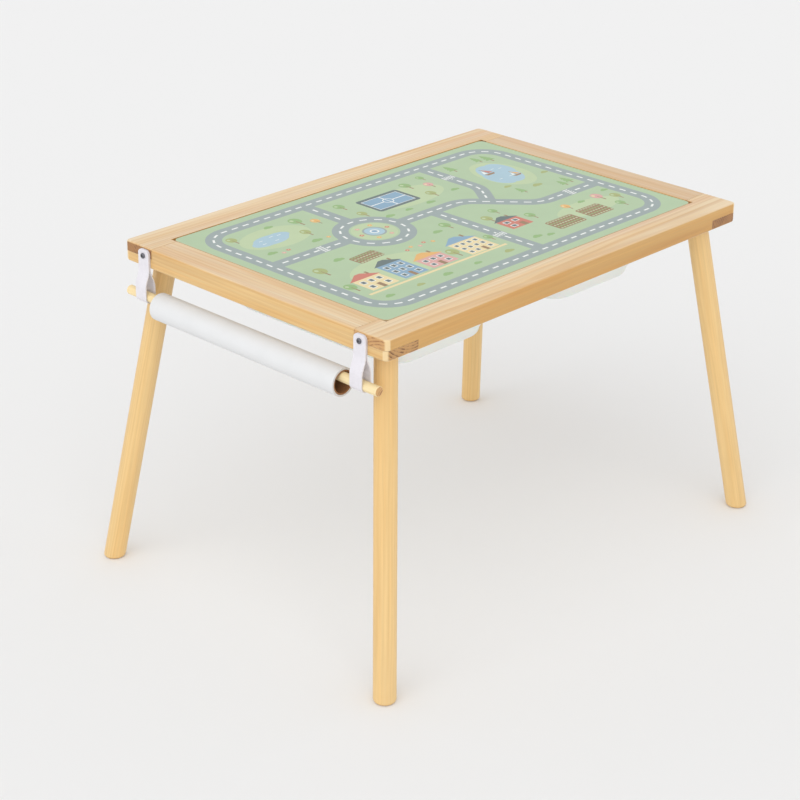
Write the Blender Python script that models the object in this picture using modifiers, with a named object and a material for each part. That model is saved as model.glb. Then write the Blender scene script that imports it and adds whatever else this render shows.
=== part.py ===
"""Activity table: a half-lapped pine frame on four splayed legs, with a lift-out play board,
two hanging bins and a paper roll on a rod at one short end.

Metres, +Z up. The origin is on the floor under the middle of the frame. +X runs along the
table, away from the paper roll.
"""

import math

import bmesh
import bpy
from mathutils import Matrix, Vector

# Frame
TABLE_LENGTH = 0.744
TABLE_DEPTH = 0.515
TABLE_HEIGHT = 0.506
RAIL_HEIGHT = 0.030
RAIL_TOP_WIDTH = 0.046
LEDGE_WIDTH = 0.012
FRAME_CORNER_RADIUS = 0.008
FRAME_EDGE_RADIUS = 0.003

# Play board
BOARD_THICKNESS = 0.006
BOARD_SIDE_CLEARANCE = 0.0015
BOARD_CORNER_RADIUS = 0.010
BOARD_EDGE_RADIUS = 0.0006
BOARD_SETBACK = 0.0004

# Bins
BIN_HEIGHT = 0.098
BIN_WALL = 0.002
BIN_TAPER = 0.032
BIN_RIM_WIDTH = 0.0125
BIN_CORNER_RADIUS = 0.040
BIN_BASE_RADIUS = 0.010
BIN_SIDE_CLEARANCE = 0.0015
BIN_MIDDLE_GAP = 0.048
BIN_END_GAP = 0.022

# Legs
LEG_DIAMETER = 0.032
LEG_INSET = 0.041
LEG_SPREAD = 0.068
LEG_FOOT_RADIUS = 0.005
LEG_TOP_CHAMFER = 0.001

# Leg fastenings
BOLT_DIAMETER = 0.0077
BOLT_DEPTH_IN_LEG = 0.038
BOLT_TIP_LENGTH = 0.005
INSERT_DIAMETER = 0.012
INSERT_COVER = 0.0023
BOLT_END_COVER = 0.001

# Paper roll and its rod
DOWEL_DIAMETER = 0.014
DOWEL_DROP = 0.042
DOWEL_OVERHANG = 0.023
DOWEL_CHAMFER = 0.001
CORE_BORE = 0.030
CORE_WALL = 0.002
PAPER_BUILD = 0.0027
ROLL_END_CLEARANCE = 0.020

# Straps
STRAP_WIDTH = 0.022
STRAP_THICKNESS = 0.0016
STRAP_INSET = 0.0445
STRAP_TOP_ABOVE_SCREW = 0.009
STRAP_END_RADIUS = 0.007
STRAP_STRAIGHT_BELOW_FRAME = 0.001
STRAP_STRAIGHT_ABOVE_DOWEL = 0.014
SCREW_ABOVE_LAP = 0.0035
SCREW_HEAD_DIAMETER = 0.008
SCREW_HEAD_HEIGHT = 0.0024
SCREW_SHANK_DIAMETER = 0.0035
SCREW_SHANK_LENGTH = 0.018

# Gap kept between pieces that touch or slide on each other
SEAT_GAP = 0.0003

# How near a vertex lies to a level to count as on it
LEVEL_TOLERANCE = 0.000001

# Facets
CORNER_SEGMENTS = 6
EDGE_SEGMENTS = 3
ROUND_SEGMENTS = 32
SMALL_ROUND_SEGMENTS = 16
ROLL_SEGMENTS = 48
STRAP_SPREAD_SEGMENTS = 8
STRAP_LOOP_SEGMENTS = 12

# Sizes that follow from the ones above
HALF_LENGTH = TABLE_LENGTH / 2
HALF_DEPTH = TABLE_DEPTH / 2
FRAME_UNDERSIDE = TABLE_HEIGHT - RAIL_HEIGHT
RAIL_WIDTH = RAIL_TOP_WIDTH + LEDGE_WIDTH
LAP_HEIGHT = RAIL_HEIGHT / 2
LAP_LEVEL = FRAME_UNDERSIDE + LAP_HEIGHT
OPENING_HALF_X = HALF_LENGTH - RAIL_TOP_WIDTH
OPENING_HALF_Y = HALF_DEPTH - RAIL_TOP_WIDTH
BOARD_TOP = TABLE_HEIGHT - BOARD_SETBACK
BOARD_UNDERSIDE = BOARD_TOP - BOARD_THICKNESS
BIN_RIM_TOP = BOARD_UNDERSIDE - SEAT_GAP
LEDGE_LEVEL = BIN_RIM_TOP - BIN_WALL - SEAT_GAP
BIN_HALF_X = (OPENING_HALF_X - BIN_MIDDLE_GAP / 2 - BIN_END_GAP) / 2
BIN_HALF_Y = OPENING_HALF_Y - BIN_SIDE_CLEARANCE
BIN_CENTRE_X = BIN_MIDDLE_GAP / 2 + BIN_HALF_X
STRAP_Y = HALF_DEPTH - STRAP_INSET
INNER_LEAF_X = -HALF_LENGTH - SEAT_GAP - STRAP_THICKNESS / 2
OUTER_LEAF_X = INNER_LEAF_X - STRAP_THICKNESS - SEAT_GAP
DOWEL_X = (INNER_LEAF_X + OUTER_LEAF_X) / 2
DOWEL_Z = FRAME_UNDERSIDE - DOWEL_DROP
DOWEL_HALF_LENGTH = STRAP_Y + STRAP_WIDTH / 2 + DOWEL_OVERHANG
ROLL_HALF_LENGTH = STRAP_Y - STRAP_WIDTH / 2 - ROLL_END_CLEARANCE
CORE_Z = DOWEL_Z + DOWEL_DIAMETER / 2 + SEAT_GAP - CORE_BORE / 2
CORE_OUTER_RADIUS = CORE_BORE / 2 + CORE_WALL
PAPER_BORE_RADIUS = CORE_OUTER_RADIUS + SEAT_GAP
PAPER_RADIUS = PAPER_BORE_RADIUS + PAPER_BUILD
STRAP_SCREW_Z = LAP_LEVEL + SCREW_ABOVE_LAP

CORNERS = {
    "front_left": (-1, -1),
    "front_right": (1, -1),
    "back_left": (-1, 1),
    "back_right": (1, 1),
}
STRAP_SIDES = {"front": -1, "back": 1}


def clear_scene():
    for old in list(bpy.data.objects):
        bpy.data.objects.remove(old)


def make_collection(name):
    collection = bpy.data.collections.new(name)
    bpy.context.scene.collection.children.link(collection)
    return collection


def make_material(name, colour, roughness, metallic=0.0):
    material = bpy.data.materials.new(name)
    material.use_nodes = True
    shader = material.node_tree.nodes["Principled BSDF"]
    shader.inputs["Base Color"].default_value = (*colour, 1.0)
    shader.inputs["Roughness"].default_value = roughness
    shader.inputs["Metallic"].default_value = metallic
    material.diffuse_color = (*colour, 1.0)
    return material


def add_object(name, bm, collection, material=None, smooth=False):
    mesh = bpy.data.meshes.new(name)
    bm.to_mesh(mesh)
    bm.free()
    thing = bpy.data.objects.new(name, mesh)
    collection.objects.link(thing)
    if material:
        mesh.materials.append(material)
    if smooth:
        mesh.shade_smooth()
        mesh.set_sharp_from_angle(angle=math.radians(35))
    return thing


def box_mesh(low, high):
    low = Vector(low)
    high = Vector(high)
    bm = bmesh.new()
    bmesh.ops.create_cube(bm, size=1.0)
    size = high - low
    bmesh.ops.scale(bm, vec=size, verts=bm.verts)
    bmesh.ops.translate(bm, vec=(low + high) / 2, verts=bm.verts)
    return bm


def bevel_edges(bm, edges, width, segments):
    bmesh.ops.bevel(
        bm,
        geom=edges,
        offset=width,
        offset_type="OFFSET",
        segments=segments,
        profile=0.5,
        affect="EDGES",
        clamp_overlap=False,
        material=-1,
    )


def upright_edges(bm):
    found = []
    for edge in bm.edges:
        along = (edge.verts[1].co - edge.verts[0].co).normalized()
        if abs(along.z) > 0.9:
            found.append(edge)
    return found


def level_rim_edges(bm, level):
    found = []
    for edge in bm.edges:
        if all(abs(vert.co.z - level) < LEVEL_TOLERANCE for vert in edge.verts):
            found.append(edge)
    return found


def slab_mesh(half_x, half_y, bottom, top, corner_radius, edge_radius, edge_segments):
    """A flat plate with round corners in plan and softened rims."""
    bm = box_mesh((-half_x, -half_y, bottom), (half_x, half_y, top))
    bevel_edges(bm, upright_edges(bm), corner_radius, CORNER_SEGMENTS)
    rims = level_rim_edges(bm, bottom) + level_rim_edges(bm, top)
    bevel_edges(bm, rims, edge_radius, edge_segments)
    return bm


def rod_mesh(start, end, radius, segments):
    """A plain round rod between two points, with flat ends."""
    start = Vector(start)
    end = Vector(end)
    along = end - start
    bm = bmesh.new()
    bmesh.ops.create_cone(
        bm,
        cap_ends=True,
        segments=segments,
        radius1=radius,
        radius2=radius,
        depth=along.length,
    )
    turn = along.to_track_quat("Z", "Y").to_matrix().to_4x4()
    place = Matrix.Translation((start + end) / 2) @ turn
    bmesh.ops.transform(bm, matrix=place, verts=bm.verts)
    return bm


def add_cutter(name, bm):
    cutter = add_object(name, bm, cutters)
    cutter.hide_render = True
    cutter.display_type = "WIRE"
    return cutter


def cut(thing, cutter, operation="DIFFERENCE"):
    modifier = thing.modifiers.new(cutter.name, "BOOLEAN")
    modifier.operation = operation
    modifier.object = cutter
    modifier.solver = "EXACT"


def turned_object(name, profile, material, segments):
    """A profile of (radius, height) points turned about the object's own Z axis.

    The profile runs down the outer side from top to bottom, and on up the bore where there is one.
    """
    bm = bmesh.new()
    corners = [bm.verts.new((radius, 0, height)) for radius, height in profile]
    for first, second in zip(corners, corners[1:]):
        bm.edges.new((first, second))
    if profile[0][0] > 0:
        bm.edges.new((corners[-1], corners[0]))
    thing = add_object(name, bm, parts, material)
    screw = thing.modifiers.new("turn", "SCREW")
    screw.axis = "Z"
    screw.angle = math.tau
    screw.steps = segments
    screw.render_steps = segments
    screw.use_merge_vertices = True
    screw.merge_threshold = 0.00001
    screw.use_smooth_shade = True
    return thing


def leg_top(side_x, side_y):
    return Vector(
        (
            side_x * (HALF_LENGTH - LEG_INSET),
            side_y * (HALF_DEPTH - LEG_INSET),
            FRAME_UNDERSIDE,
        )
    )


def leg_foot(side_x, side_y):
    top = leg_top(side_x, side_y)
    return Vector((top.x + side_x * LEG_SPREAD, top.y + side_y * LEG_SPREAD, 0.0))


def leg_axis(side_x, side_y):
    """The unit vector that runs up the leg."""
    return (leg_top(side_x, side_y) - leg_foot(side_x, side_y)).normalized()


def build_rails():
    """Four rails cut from one rounded frame blank, half-lapped at the corners."""
    pine = make_material("pine rail", (0.80, 0.62, 0.38), 0.55)
    far = 2 * TABLE_LENGTH
    below = FRAME_UNDERSIDE - RAIL_HEIGHT
    above = TABLE_HEIGHT + RAIL_HEIGHT
    rabbet = add_cutter(
        "rabbet_cutter",
        box_mesh(
            (-OPENING_HALF_X, -OPENING_HALF_Y, LEDGE_LEVEL),
            (OPENING_HALF_X, OPENING_HALF_Y, above),
        ),
    )
    inner_x = HALF_LENGTH - RAIL_WIDTH
    inner_y = HALF_DEPTH - RAIL_WIDTH
    long_laps = []
    short_laps = []
    for side in (-1, 1):
        ends = sorted((side * (inner_x - SEAT_GAP), side * far))
        low = (ends[0], -far, below)
        high = (ends[1], far, LAP_LEVEL + SEAT_GAP / 2)
        long_laps.append(add_cutter(f"long_lap_cutter_{side}", box_mesh(low, high)))
        ends = sorted((side * (inner_y - SEAT_GAP), side * far))
        low = (-far, ends[0], LAP_LEVEL - SEAT_GAP / 2)
        high = (far, ends[1], above)
        short_laps.append(add_cutter(f"short_lap_cutter_{side}", box_mesh(low, high)))

    rails = {}
    for name, side in (("front_rail", -1), ("back_rail", 1)):
        span = sorted((side * inner_y, side * far))
        stock = add_cutter(
            f"{name}_stock", box_mesh((-far, span[0], below), (far, span[1], above))
        )
        rails[name] = rail_from_blank(name, pine, [rabbet] + long_laps, stock)
    for name, side in (("left_rail", -1), ("right_rail", 1)):
        span = sorted((side * inner_x, side * far))
        stock = add_cutter(
            f"{name}_stock", box_mesh((span[0], -far, below), (span[1], far, above))
        )
        rails[name] = rail_from_blank(name, pine, [rabbet] + short_laps, stock)
    return rails


def rail_from_blank(name, material, removed, stock):
    blank = slab_mesh(
        HALF_LENGTH,
        HALF_DEPTH,
        FRAME_UNDERSIDE,
        TABLE_HEIGHT,
        FRAME_CORNER_RADIUS,
        FRAME_EDGE_RADIUS,
        EDGE_SEGMENTS,
    )
    rail = add_object(name, blank, parts, material, smooth=True)
    cut(rail, stock, "INTERSECT")
    for cutter in removed:
        cut(rail, cutter)
    return rail


def build_board():
    paint = make_material("play board", (0.60, 0.73, 0.52), 0.45)
    half_x = OPENING_HALF_X - BOARD_SIDE_CLEARANCE
    half_y = OPENING_HALF_Y - BOARD_SIDE_CLEARANCE
    plate = slab_mesh(
        half_x, half_y, BOARD_UNDERSIDE, BOARD_TOP, BOARD_CORNER_RADIUS, BOARD_EDGE_RADIUS, 1
    )
    add_object("play_board", plate, parts, paint, smooth=True)


def rounded_ring(bm, half_x, half_y, radius, level):
    """Vertices round a rectangle with round corners, anticlockwise seen from above."""
    ring = []
    for quarter, (side_x, side_y) in enumerate(((1, 1), (-1, 1), (-1, -1), (1, -1))):
        for step in range(CORNER_SEGMENTS + 1):
            angle = math.pi / 2 * (quarter + step / CORNER_SEGMENTS)
            x = side_x * (half_x - radius) + radius * math.cos(angle)
            y = side_y * (half_y - radius) + radius * math.sin(angle)
            ring.append(bm.verts.new((x, y, level)))
    return ring


def loft(bm, lower, upper):
    """A band of faces between two rings, facing away from the axis, or down where they are level."""
    lower_next = lower[1:] + lower[:1]
    upper_next = upper[1:] + upper[:1]
    for corners in zip(lower, lower_next, upper_next, upper):
        bm.faces.new(corners)


def bin_shell_mesh():
    """The bin's outer skin, from its round-edged base up to the underside of its rim."""
    wall_top = LEDGE_LEVEL + SEAT_GAP
    base = BIN_RIM_TOP - BIN_HEIGHT
    top_x = BIN_HALF_X - BIN_RIM_WIDTH
    top_y = BIN_HALF_Y - BIN_RIM_WIDTH
    base_x = top_x - BIN_TAPER
    base_y = top_y - BIN_TAPER
    bm = bmesh.new()
    rings = []
    for step in range(EDGE_SEGMENTS + 1):
        angle = math.pi / 2 * step / EDGE_SEGMENTS
        inset = BIN_BASE_RADIUS * (1 - math.sin(angle))
        rise = BIN_BASE_RADIUS * (1 - math.cos(angle))
        radius = BIN_CORNER_RADIUS - inset
        rings.append(rounded_ring(bm, base_x - inset, base_y - inset, radius, base + rise))
    rings.append(rounded_ring(bm, top_x, top_y, BIN_CORNER_RADIUS, wall_top))
    rim_radius = BIN_CORNER_RADIUS + BIN_RIM_WIDTH
    rings.append(rounded_ring(bm, BIN_HALF_X, BIN_HALF_Y, rim_radius, wall_top))
    bm.faces.new(reversed(rings[0]))
    for lower, upper in zip(rings, rings[1:]):
        loft(bm, lower, upper)
    return bm


def build_bins():
    plastic = make_material("bin plastic", (0.88, 0.89, 0.87), 0.35)
    for name, side in (("bin_left", -1), ("bin_right", 1)):
        tub = add_object(name, bin_shell_mesh(), parts, plastic, smooth=True)
        tub.location.x = side * BIN_CENTRE_X
        solidify = tub.modifiers.new("wall", "SOLIDIFY")
        solidify.thickness = BIN_WALL
        solidify.offset = -1.0
        solidify.use_even_offset = True
        solidify.use_quality_normals = True


def leg_mesh(side_x, side_y):
    """A round bar cut level at the floor and under the frame, with its ends softened."""
    along = leg_axis(side_x, side_y)
    foot = leg_foot(side_x, side_y)
    top = leg_top(side_x, side_y)
    spare = along * LEG_DIAMETER
    bm = rod_mesh(foot - spare, top + spare, LEG_DIAMETER / 2, ROUND_SEGMENTS)
    top_level = FRAME_UNDERSIDE - SEAT_GAP
    for level, outward in ((0.0, -1), (top_level, 1)):
        result = bmesh.ops.bisect_plane(
            bm,
            geom=bm.verts[:] + bm.edges[:] + bm.faces[:],
            dist=LEVEL_TOLERANCE / 10,
            plane_co=(0, 0, level),
            plane_no=(0, 0, outward),
            clear_outer=True,
        )
        rim = [item for item in result["geom_cut"] if isinstance(item, bmesh.types.BMEdge)]
        bmesh.ops.contextual_create(bm, geom=rim)
    bmesh.ops.recalc_face_normals(bm, faces=bm.faces)
    bevel_edges(bm, level_rim_edges(bm, 0.0), LEG_FOOT_RADIUS, EDGE_SEGMENTS)
    bevel_edges(bm, level_rim_edges(bm, top_level), LEG_TOP_CHAMFER, 1)
    return bm


def build_legs(rails):
    """Each leg with its hanger bolt, the insert nut above it and the holes they sit in."""
    beech = make_material("leg wood", (0.85, 0.66, 0.40), 0.5)
    zinc = make_material("zinc steel", (0.62, 0.62, 0.60), 0.35, 1.0)
    brass = make_material("insert brass", (0.72, 0.58, 0.30), 0.4, 1.0)
    bolt_radius = BOLT_DIAMETER / 2
    insert_radius = INSERT_DIAMETER / 2
    for corner, (side_x, side_y) in CORNERS.items():
        along = leg_axis(side_x, side_y)
        top = leg_top(side_x, side_y)
        turn = along.to_track_quat("Z", "Y")
        tilt_gap = SEAT_GAP + insert_radius * math.tan(math.acos(along.z))
        insert_length = (LAP_HEIGHT - INSERT_COVER - tilt_gap) / along.z - tilt_gap
        insert_base = top + along * tilt_gap
        bolt_length_up = tilt_gap + insert_length - BOLT_END_COVER

        leg = add_object(f"leg_{corner}", leg_mesh(side_x, side_y), parts, beech, smooth=True)
        leg_bore = rod_mesh(
            top - along * (BOLT_DEPTH_IN_LEG + SEAT_GAP),
            top + along * LEG_DIAMETER,
            bolt_radius + SEAT_GAP,
            SMALL_ROUND_SEGMENTS,
        )
        cut(leg, add_cutter(f"leg_bore_{corner}", leg_bore))

        bolt_profile = [
            (0.0, bolt_length_up),
            (bolt_radius, bolt_length_up),
            (bolt_radius, -BOLT_DEPTH_IN_LEG + BOLT_TIP_LENGTH),
            (0.0, -BOLT_DEPTH_IN_LEG),
        ]
        bolt = turned_object(
            f"hanger_bolt_{corner}", bolt_profile, zinc, SMALL_ROUND_SEGMENTS
        )
        place_upright(bolt, top, turn)

        insert_profile = [
            (insert_radius, insert_length),
            (insert_radius, 0.0),
            (bolt_radius + SEAT_GAP, 0.0),
            (bolt_radius + SEAT_GAP, insert_length),
        ]
        insert = turned_object(
            f"insert_nut_{corner}", insert_profile, brass, ROUND_SEGMENTS
        )
        place_upright(insert, insert_base, turn)

        insert_hole = rod_mesh(
            top - along * LEG_DIAMETER,
            insert_base + along * (insert_length + SEAT_GAP),
            insert_radius + SEAT_GAP,
            ROUND_SEGMENTS,
        )
        rail = rails["left_rail" if side_x < 0 else "right_rail"]
        cut(rail, add_cutter(f"insert_hole_{corner}", insert_hole))


def place_upright(thing, place, turn):
    thing.rotation_mode = "QUATERNION"
    thing.rotation_quaternion = turn
    thing.location = place


def strap_leaf():
    """One leaf from its end down to the rod, as (share of the spread, height, half width)."""
    top = STRAP_SCREW_Z + STRAP_TOP_ABOVE_SCREW
    half_width = STRAP_WIDTH / 2
    leaf = []
    for step in range(CORNER_SEGMENTS + 1):
        angle = math.pi / 2 * step / CORNER_SEGMENTS
        drop = STRAP_END_RADIUS * (1 - math.cos(angle))
        narrowing = STRAP_END_RADIUS * (1 - math.sin(angle))
        leaf.append((0.0, top - drop, half_width - narrowing))
    leaf.append((0.0, FRAME_UNDERSIDE, half_width))
    spread_top = FRAME_UNDERSIDE - STRAP_STRAIGHT_BELOW_FRAME
    spread_end = DOWEL_Z + STRAP_STRAIGHT_ABOVE_DOWEL
    for step in range(STRAP_SPREAD_SEGMENTS + 1):
        share = step / STRAP_SPREAD_SEGMENTS
        height = spread_top + (spread_end - spread_top) * share
        leaf.append(((1 - math.cos(math.pi * share)) / 2, height, half_width))
    leaf.append((1.0, DOWEL_Z, half_width))
    return leaf


def strap_path():
    """Points (x, z, half width) down the outer leaf, round under the rod and up the inner leaf."""
    loop_radius = DOWEL_DIAMETER / 2 + SEAT_GAP + STRAP_THICKNESS / 2
    leaf = strap_leaf()
    points = []
    for share, z, half_width in leaf:
        x = OUTER_LEAF_X + (DOWEL_X - loop_radius - OUTER_LEAF_X) * share
        points.append((x, z, half_width))
    for step in range(1, STRAP_LOOP_SEGMENTS):
        angle = math.pi * (1 + step / STRAP_LOOP_SEGMENTS)
        x = DOWEL_X + loop_radius * math.cos(angle)
        z = DOWEL_Z + loop_radius * math.sin(angle)
        points.append((x, z, STRAP_WIDTH / 2))
    for share, z, half_width in reversed(leaf):
        x = INNER_LEAF_X + (DOWEL_X + loop_radius - INNER_LEAF_X) * share
        points.append((x, z, half_width))
    return points


def strap_mesh(centre_y):
    bm = bmesh.new()
    rows = []
    for x, z, half_width in strap_path():
        near = bm.verts.new((x, centre_y - half_width, z))
        far = bm.verts.new((x, centre_y + half_width, z))
        rows.append((near, far))
    for first, second in zip(rows, rows[1:]):
        bm.faces.new((first[0], first[1], second[1], second[0]))
    return bm


def build_straps(rails):
    leather = make_material("strap", (0.86, 0.84, 0.86), 0.6)
    steel = make_material("strap screw", (0.30, 0.30, 0.32), 0.35, 1.0)
    shank_radius = SCREW_SHANK_DIAMETER / 2
    head_radius = SCREW_HEAD_DIAMETER / 2
    head_seat = OUTER_LEAF_X - STRAP_THICKNESS / 2 - SEAT_GAP
    for name, side in STRAP_SIDES.items():
        centre_y = side * STRAP_Y
        strap = add_object(f"strap_{name}", strap_mesh(centre_y), parts, leather, smooth=True)
        solidify = strap.modifiers.new("thickness", "SOLIDIFY")
        solidify.thickness = STRAP_THICKNESS
        solidify.offset = 0.0
        solidify.use_even_offset = True
        hole = rod_mesh(
            (head_seat - SCREW_HEAD_HEIGHT, centre_y, STRAP_SCREW_Z),
            (head_seat + SCREW_SHANK_LENGTH + SEAT_GAP, centre_y, STRAP_SCREW_Z),
            shank_radius + SEAT_GAP,
            SMALL_ROUND_SEGMENTS,
        )
        hole_cutter = add_cutter(f"strap_screw_hole_{name}", hole)
        cut(strap, hole_cutter)
        cut(rails[f"{name}_rail"], hole_cutter)

        profile = [
            (0.0, SCREW_HEAD_HEIGHT),
            (head_radius * 0.45, SCREW_HEAD_HEIGHT * 0.94),
            (head_radius * 0.82, SCREW_HEAD_HEIGHT * 0.68),
            (head_radius, SCREW_HEAD_HEIGHT * 0.30),
            (head_radius, 0.0),
            (shank_radius, 0.0),
            (shank_radius, -SCREW_SHANK_LENGTH + SCREW_SHANK_DIAMETER),
            (0.0, -SCREW_SHANK_LENGTH),
        ]
        screw = turned_object(f"strap_screw_{name}", profile, steel, SMALL_ROUND_SEGMENTS)
        outward = Vector((-1, 0, 0)).to_track_quat("Z", "Y")
        place_upright(screw, (head_seat, centre_y, STRAP_SCREW_Z), outward)


def build_paper_roll():
    wood = make_material("rod wood", (0.87, 0.72, 0.46), 0.5)
    card = make_material("cardboard core", (0.42, 0.27, 0.15), 0.85)
    paper = make_material("drawing paper", (0.88, 0.88, 0.87), 0.8)
    along_y = Vector((0, 1, 0)).to_track_quat("Z", "Y")

    radius = DOWEL_DIAMETER / 2
    dowel_profile = [
        (0.0, DOWEL_HALF_LENGTH),
        (radius - DOWEL_CHAMFER, DOWEL_HALF_LENGTH),
        (radius, DOWEL_HALF_LENGTH - DOWEL_CHAMFER),
        (radius, -DOWEL_HALF_LENGTH + DOWEL_CHAMFER),
        (radius - DOWEL_CHAMFER, -DOWEL_HALF_LENGTH),
        (0.0, -DOWEL_HALF_LENGTH),
    ]
    dowel = turned_object("roller_dowel", dowel_profile, wood, ROUND_SEGMENTS)
    place_upright(dowel, (DOWEL_X, 0, DOWEL_Z), along_y)

    roll_axis = bpy.data.objects.new("roll_axis", None)
    parts.objects.link(roll_axis)
    place_upright(roll_axis, (DOWEL_X, 0, CORE_Z), along_y)
    core = turned_object(
        "cardboard_core",
        tube_profile(CORE_BORE / 2, CORE_OUTER_RADIUS, ROLL_HALF_LENGTH),
        card,
        ROLL_SEGMENTS,
    )
    roll = turned_object(
        "paper_roll",
        tube_profile(PAPER_BORE_RADIUS, PAPER_RADIUS, ROLL_HALF_LENGTH),
        paper,
        ROLL_SEGMENTS,
    )
    core.parent = roll_axis
    roll.parent = roll_axis


def tube_profile(inner, outer, half_length):
    return [
        (outer, half_length),
        (outer, -half_length),
        (inner, -half_length),
        (inner, half_length),
    ]


clear_scene()
parts = make_collection("activity_table")
cutters = make_collection("cutters")
frame_rails = build_rails()
build_board()
build_bins()
build_legs(frame_rails)
build_straps(frame_rails)
build_paper_roll()
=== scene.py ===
"""Activity table: finished pieces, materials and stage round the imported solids.

Laid out as an add-on and run as a script. Metres, +Z up, in the solids' own frame: the origin is on
the floor under the middle of the table, and the paper roll hangs at the -X end.
"""

import math

import bmesh
import bpy
from bpy.props import FloatProperty, FloatVectorProperty, IntProperty, PointerProperty
from bpy.types import Operator, Panel, PropertyGroup
from mathutils import Matrix, Vector
from mathutils.geometry import delaunay_2d_cdt


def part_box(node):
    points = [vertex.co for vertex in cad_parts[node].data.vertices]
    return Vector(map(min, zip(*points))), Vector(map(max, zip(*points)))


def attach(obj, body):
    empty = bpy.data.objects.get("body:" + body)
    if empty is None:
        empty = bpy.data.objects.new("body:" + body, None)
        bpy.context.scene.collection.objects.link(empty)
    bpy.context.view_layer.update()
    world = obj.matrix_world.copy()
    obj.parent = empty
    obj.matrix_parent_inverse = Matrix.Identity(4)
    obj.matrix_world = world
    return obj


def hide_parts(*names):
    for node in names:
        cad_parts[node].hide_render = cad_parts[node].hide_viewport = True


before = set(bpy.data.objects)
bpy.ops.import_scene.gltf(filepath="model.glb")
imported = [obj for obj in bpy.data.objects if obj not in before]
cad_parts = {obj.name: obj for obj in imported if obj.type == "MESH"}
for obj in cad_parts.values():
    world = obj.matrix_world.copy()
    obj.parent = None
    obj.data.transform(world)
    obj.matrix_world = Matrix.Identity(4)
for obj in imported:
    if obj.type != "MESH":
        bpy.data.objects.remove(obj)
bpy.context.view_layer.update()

bl_info = {
    "name": "Activity Table",
    "version": (1, 0, 0),
    "blender": (4, 5, 0),
    "location": "View3D > Sidebar > Activity Table",
    "description": "Builds the finished pieces of a wooden activity table round its solids",
    "category": "Object",
}


def cad_box(node):
    """A solid's lowest and highest corner."""
    low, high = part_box(node)
    return Vector(low), Vector(high)


def middle(node):
    low, high = cad_box(node)
    return (low + high) / 2


# Places and sizes read off the solids
FRAME_LOW = cad_box("front_rail")[0]
FRAME_HIGH = cad_box("back_rail")[1]
RAIL_WIDTH = cad_box("front_rail")[1].y - FRAME_LOW.y
LAP_LEVEL = (FRAME_LOW.z + FRAME_HIGH.z) / 2
BOARD_LOW, BOARD_HIGH = cad_box("play_board")
BIN_LOW, BIN_HIGH = cad_box("bin_right")
DOWEL_LOW, DOWEL_HIGH = cad_box("roller_dowel")
CORE_LOW, CORE_HIGH = cad_box("cardboard_core")
PAPER_LOW, PAPER_HIGH = cad_box("paper_roll")

# Sizes of the solids that their boxes don't show
SEAT_GAP = 0.0003
FRAME_CORNER_RADIUS = 0.008
FRAME_EDGE_RADIUS = 0.003
BOARD_CLEARANCE = 0.0015
BOARD_CORNER_RADIUS = 0.010
BOARD_EDGE_RADIUS = 0.0006
# A hair under the solid's 32 mm, so that the rounder bar stays inside its box
LEG_DIAMETER = 0.0319
LEG_INSET = 0.041
LEG_SPREAD = 0.068
LEG_FOOT_RADIUS = 0.005
LEG_TOP_RADIUS = 0.001
BOLT_DIAMETER = 0.0077
BOLT_DEPTH_IN_LEG = 0.038
INSERT_DIAMETER = 0.012
BIN_WALL = 0.002
BIN_TAPER = 0.032
BIN_RIM_WIDTH = 0.0125
BIN_CORNER_RADIUS = 0.040
BIN_BASE_RADIUS = 0.010
STRAP_WIDTH = 0.022
STRAP_THICKNESS = 0.0016
STRAP_END_RADIUS = 0.007
STRAP_STRAIGHT_BELOW_FRAME = 0.001
STRAP_STRAIGHT_ABOVE_ROD = 0.014
SCREW_HEAD_DIAMETER = 0.008
SCREW_HEAD_HEIGHT = 0.0024
SCREW_SHANK_DIAMETER = 0.0035
CORE_WALL = 0.002

# Finer sizes that only the finished pieces have
BOLT_PITCH = 0.00125
BIN_FOOT_WIDTH = 0.004
BIN_FOOT_SLOPE = 0.0015
BIN_FOOT_HEIGHT = 0.001
BIN_EDGE_RADIUS = 0.0008
STRAP_EDGE_RADIUS = 0.0004
ROD_END_RADIUS = 0.0012
CORE_CRUSH = 0.0003
CORE_SEAM_PITCH = 0.075
PAPER_SHEET = 0.00018

# How the meshes are made: what counts as one place or as sharp, how far a cutter reaches,
# and facets
SAME_PLACE = 0.000001
CUT_WELD = 0.000002
SHARP_EDGE = math.radians(50)
FAR = 2.0
PAST_STRAP = 0.002
CORNER_STEPS = 10
HOLE_STEPS = 24
INSERT_HOLE_STEPS = 32

# Lines that several pieces share
INNER_LEAF_X = FRAME_LOW.x - SEAT_GAP - STRAP_THICKNESS / 2
OUTER_LEAF_X = INNER_LEAF_X - STRAP_THICKNESS - SEAT_GAP
DOWEL_CENTRE = (DOWEL_LOW + DOWEL_HIGH) / 2
DOWEL_RADIUS = (DOWEL_HIGH.z - DOWEL_LOW.z) / 2
ROLL_CENTRE = (CORE_LOW + CORE_HIGH) / 2

# The side along X and along Y of each corner, and along Y of each strap
CORNERS = {"front_left": (-1, -1), "front_right": (1, -1), "back_left": (-1, 1), "back_right": (1, 1)}
STRAP_SIDES = {"front": -1, "back": 1}


def srgb(red, green, blue):
    """A screen colour, 0 to 255 a channel, as the linear colour that a socket holds."""
    return tuple(((part / 255 + 0.055) / 1.055) ** 2.4 for part in (red, green, blue))


def colour_setting(name, description, colour):
    return FloatVectorProperty(
        name=name, description=description, subtype="COLOR", size=3, min=0, max=1, default=colour
    )


def length_setting(name, description, default):
    return FloatProperty(
        name=name, description=description, unit="LENGTH", precision=5, min=0, default=default
    )


def angle_setting(name, description, degrees):
    return FloatProperty(
        name=name, description=description, subtype="ANGLE", default=math.radians(degrees)
    )


def strength_setting(name, description, default):
    return FloatProperty(name=name, description=description, min=0, default=default)


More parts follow.
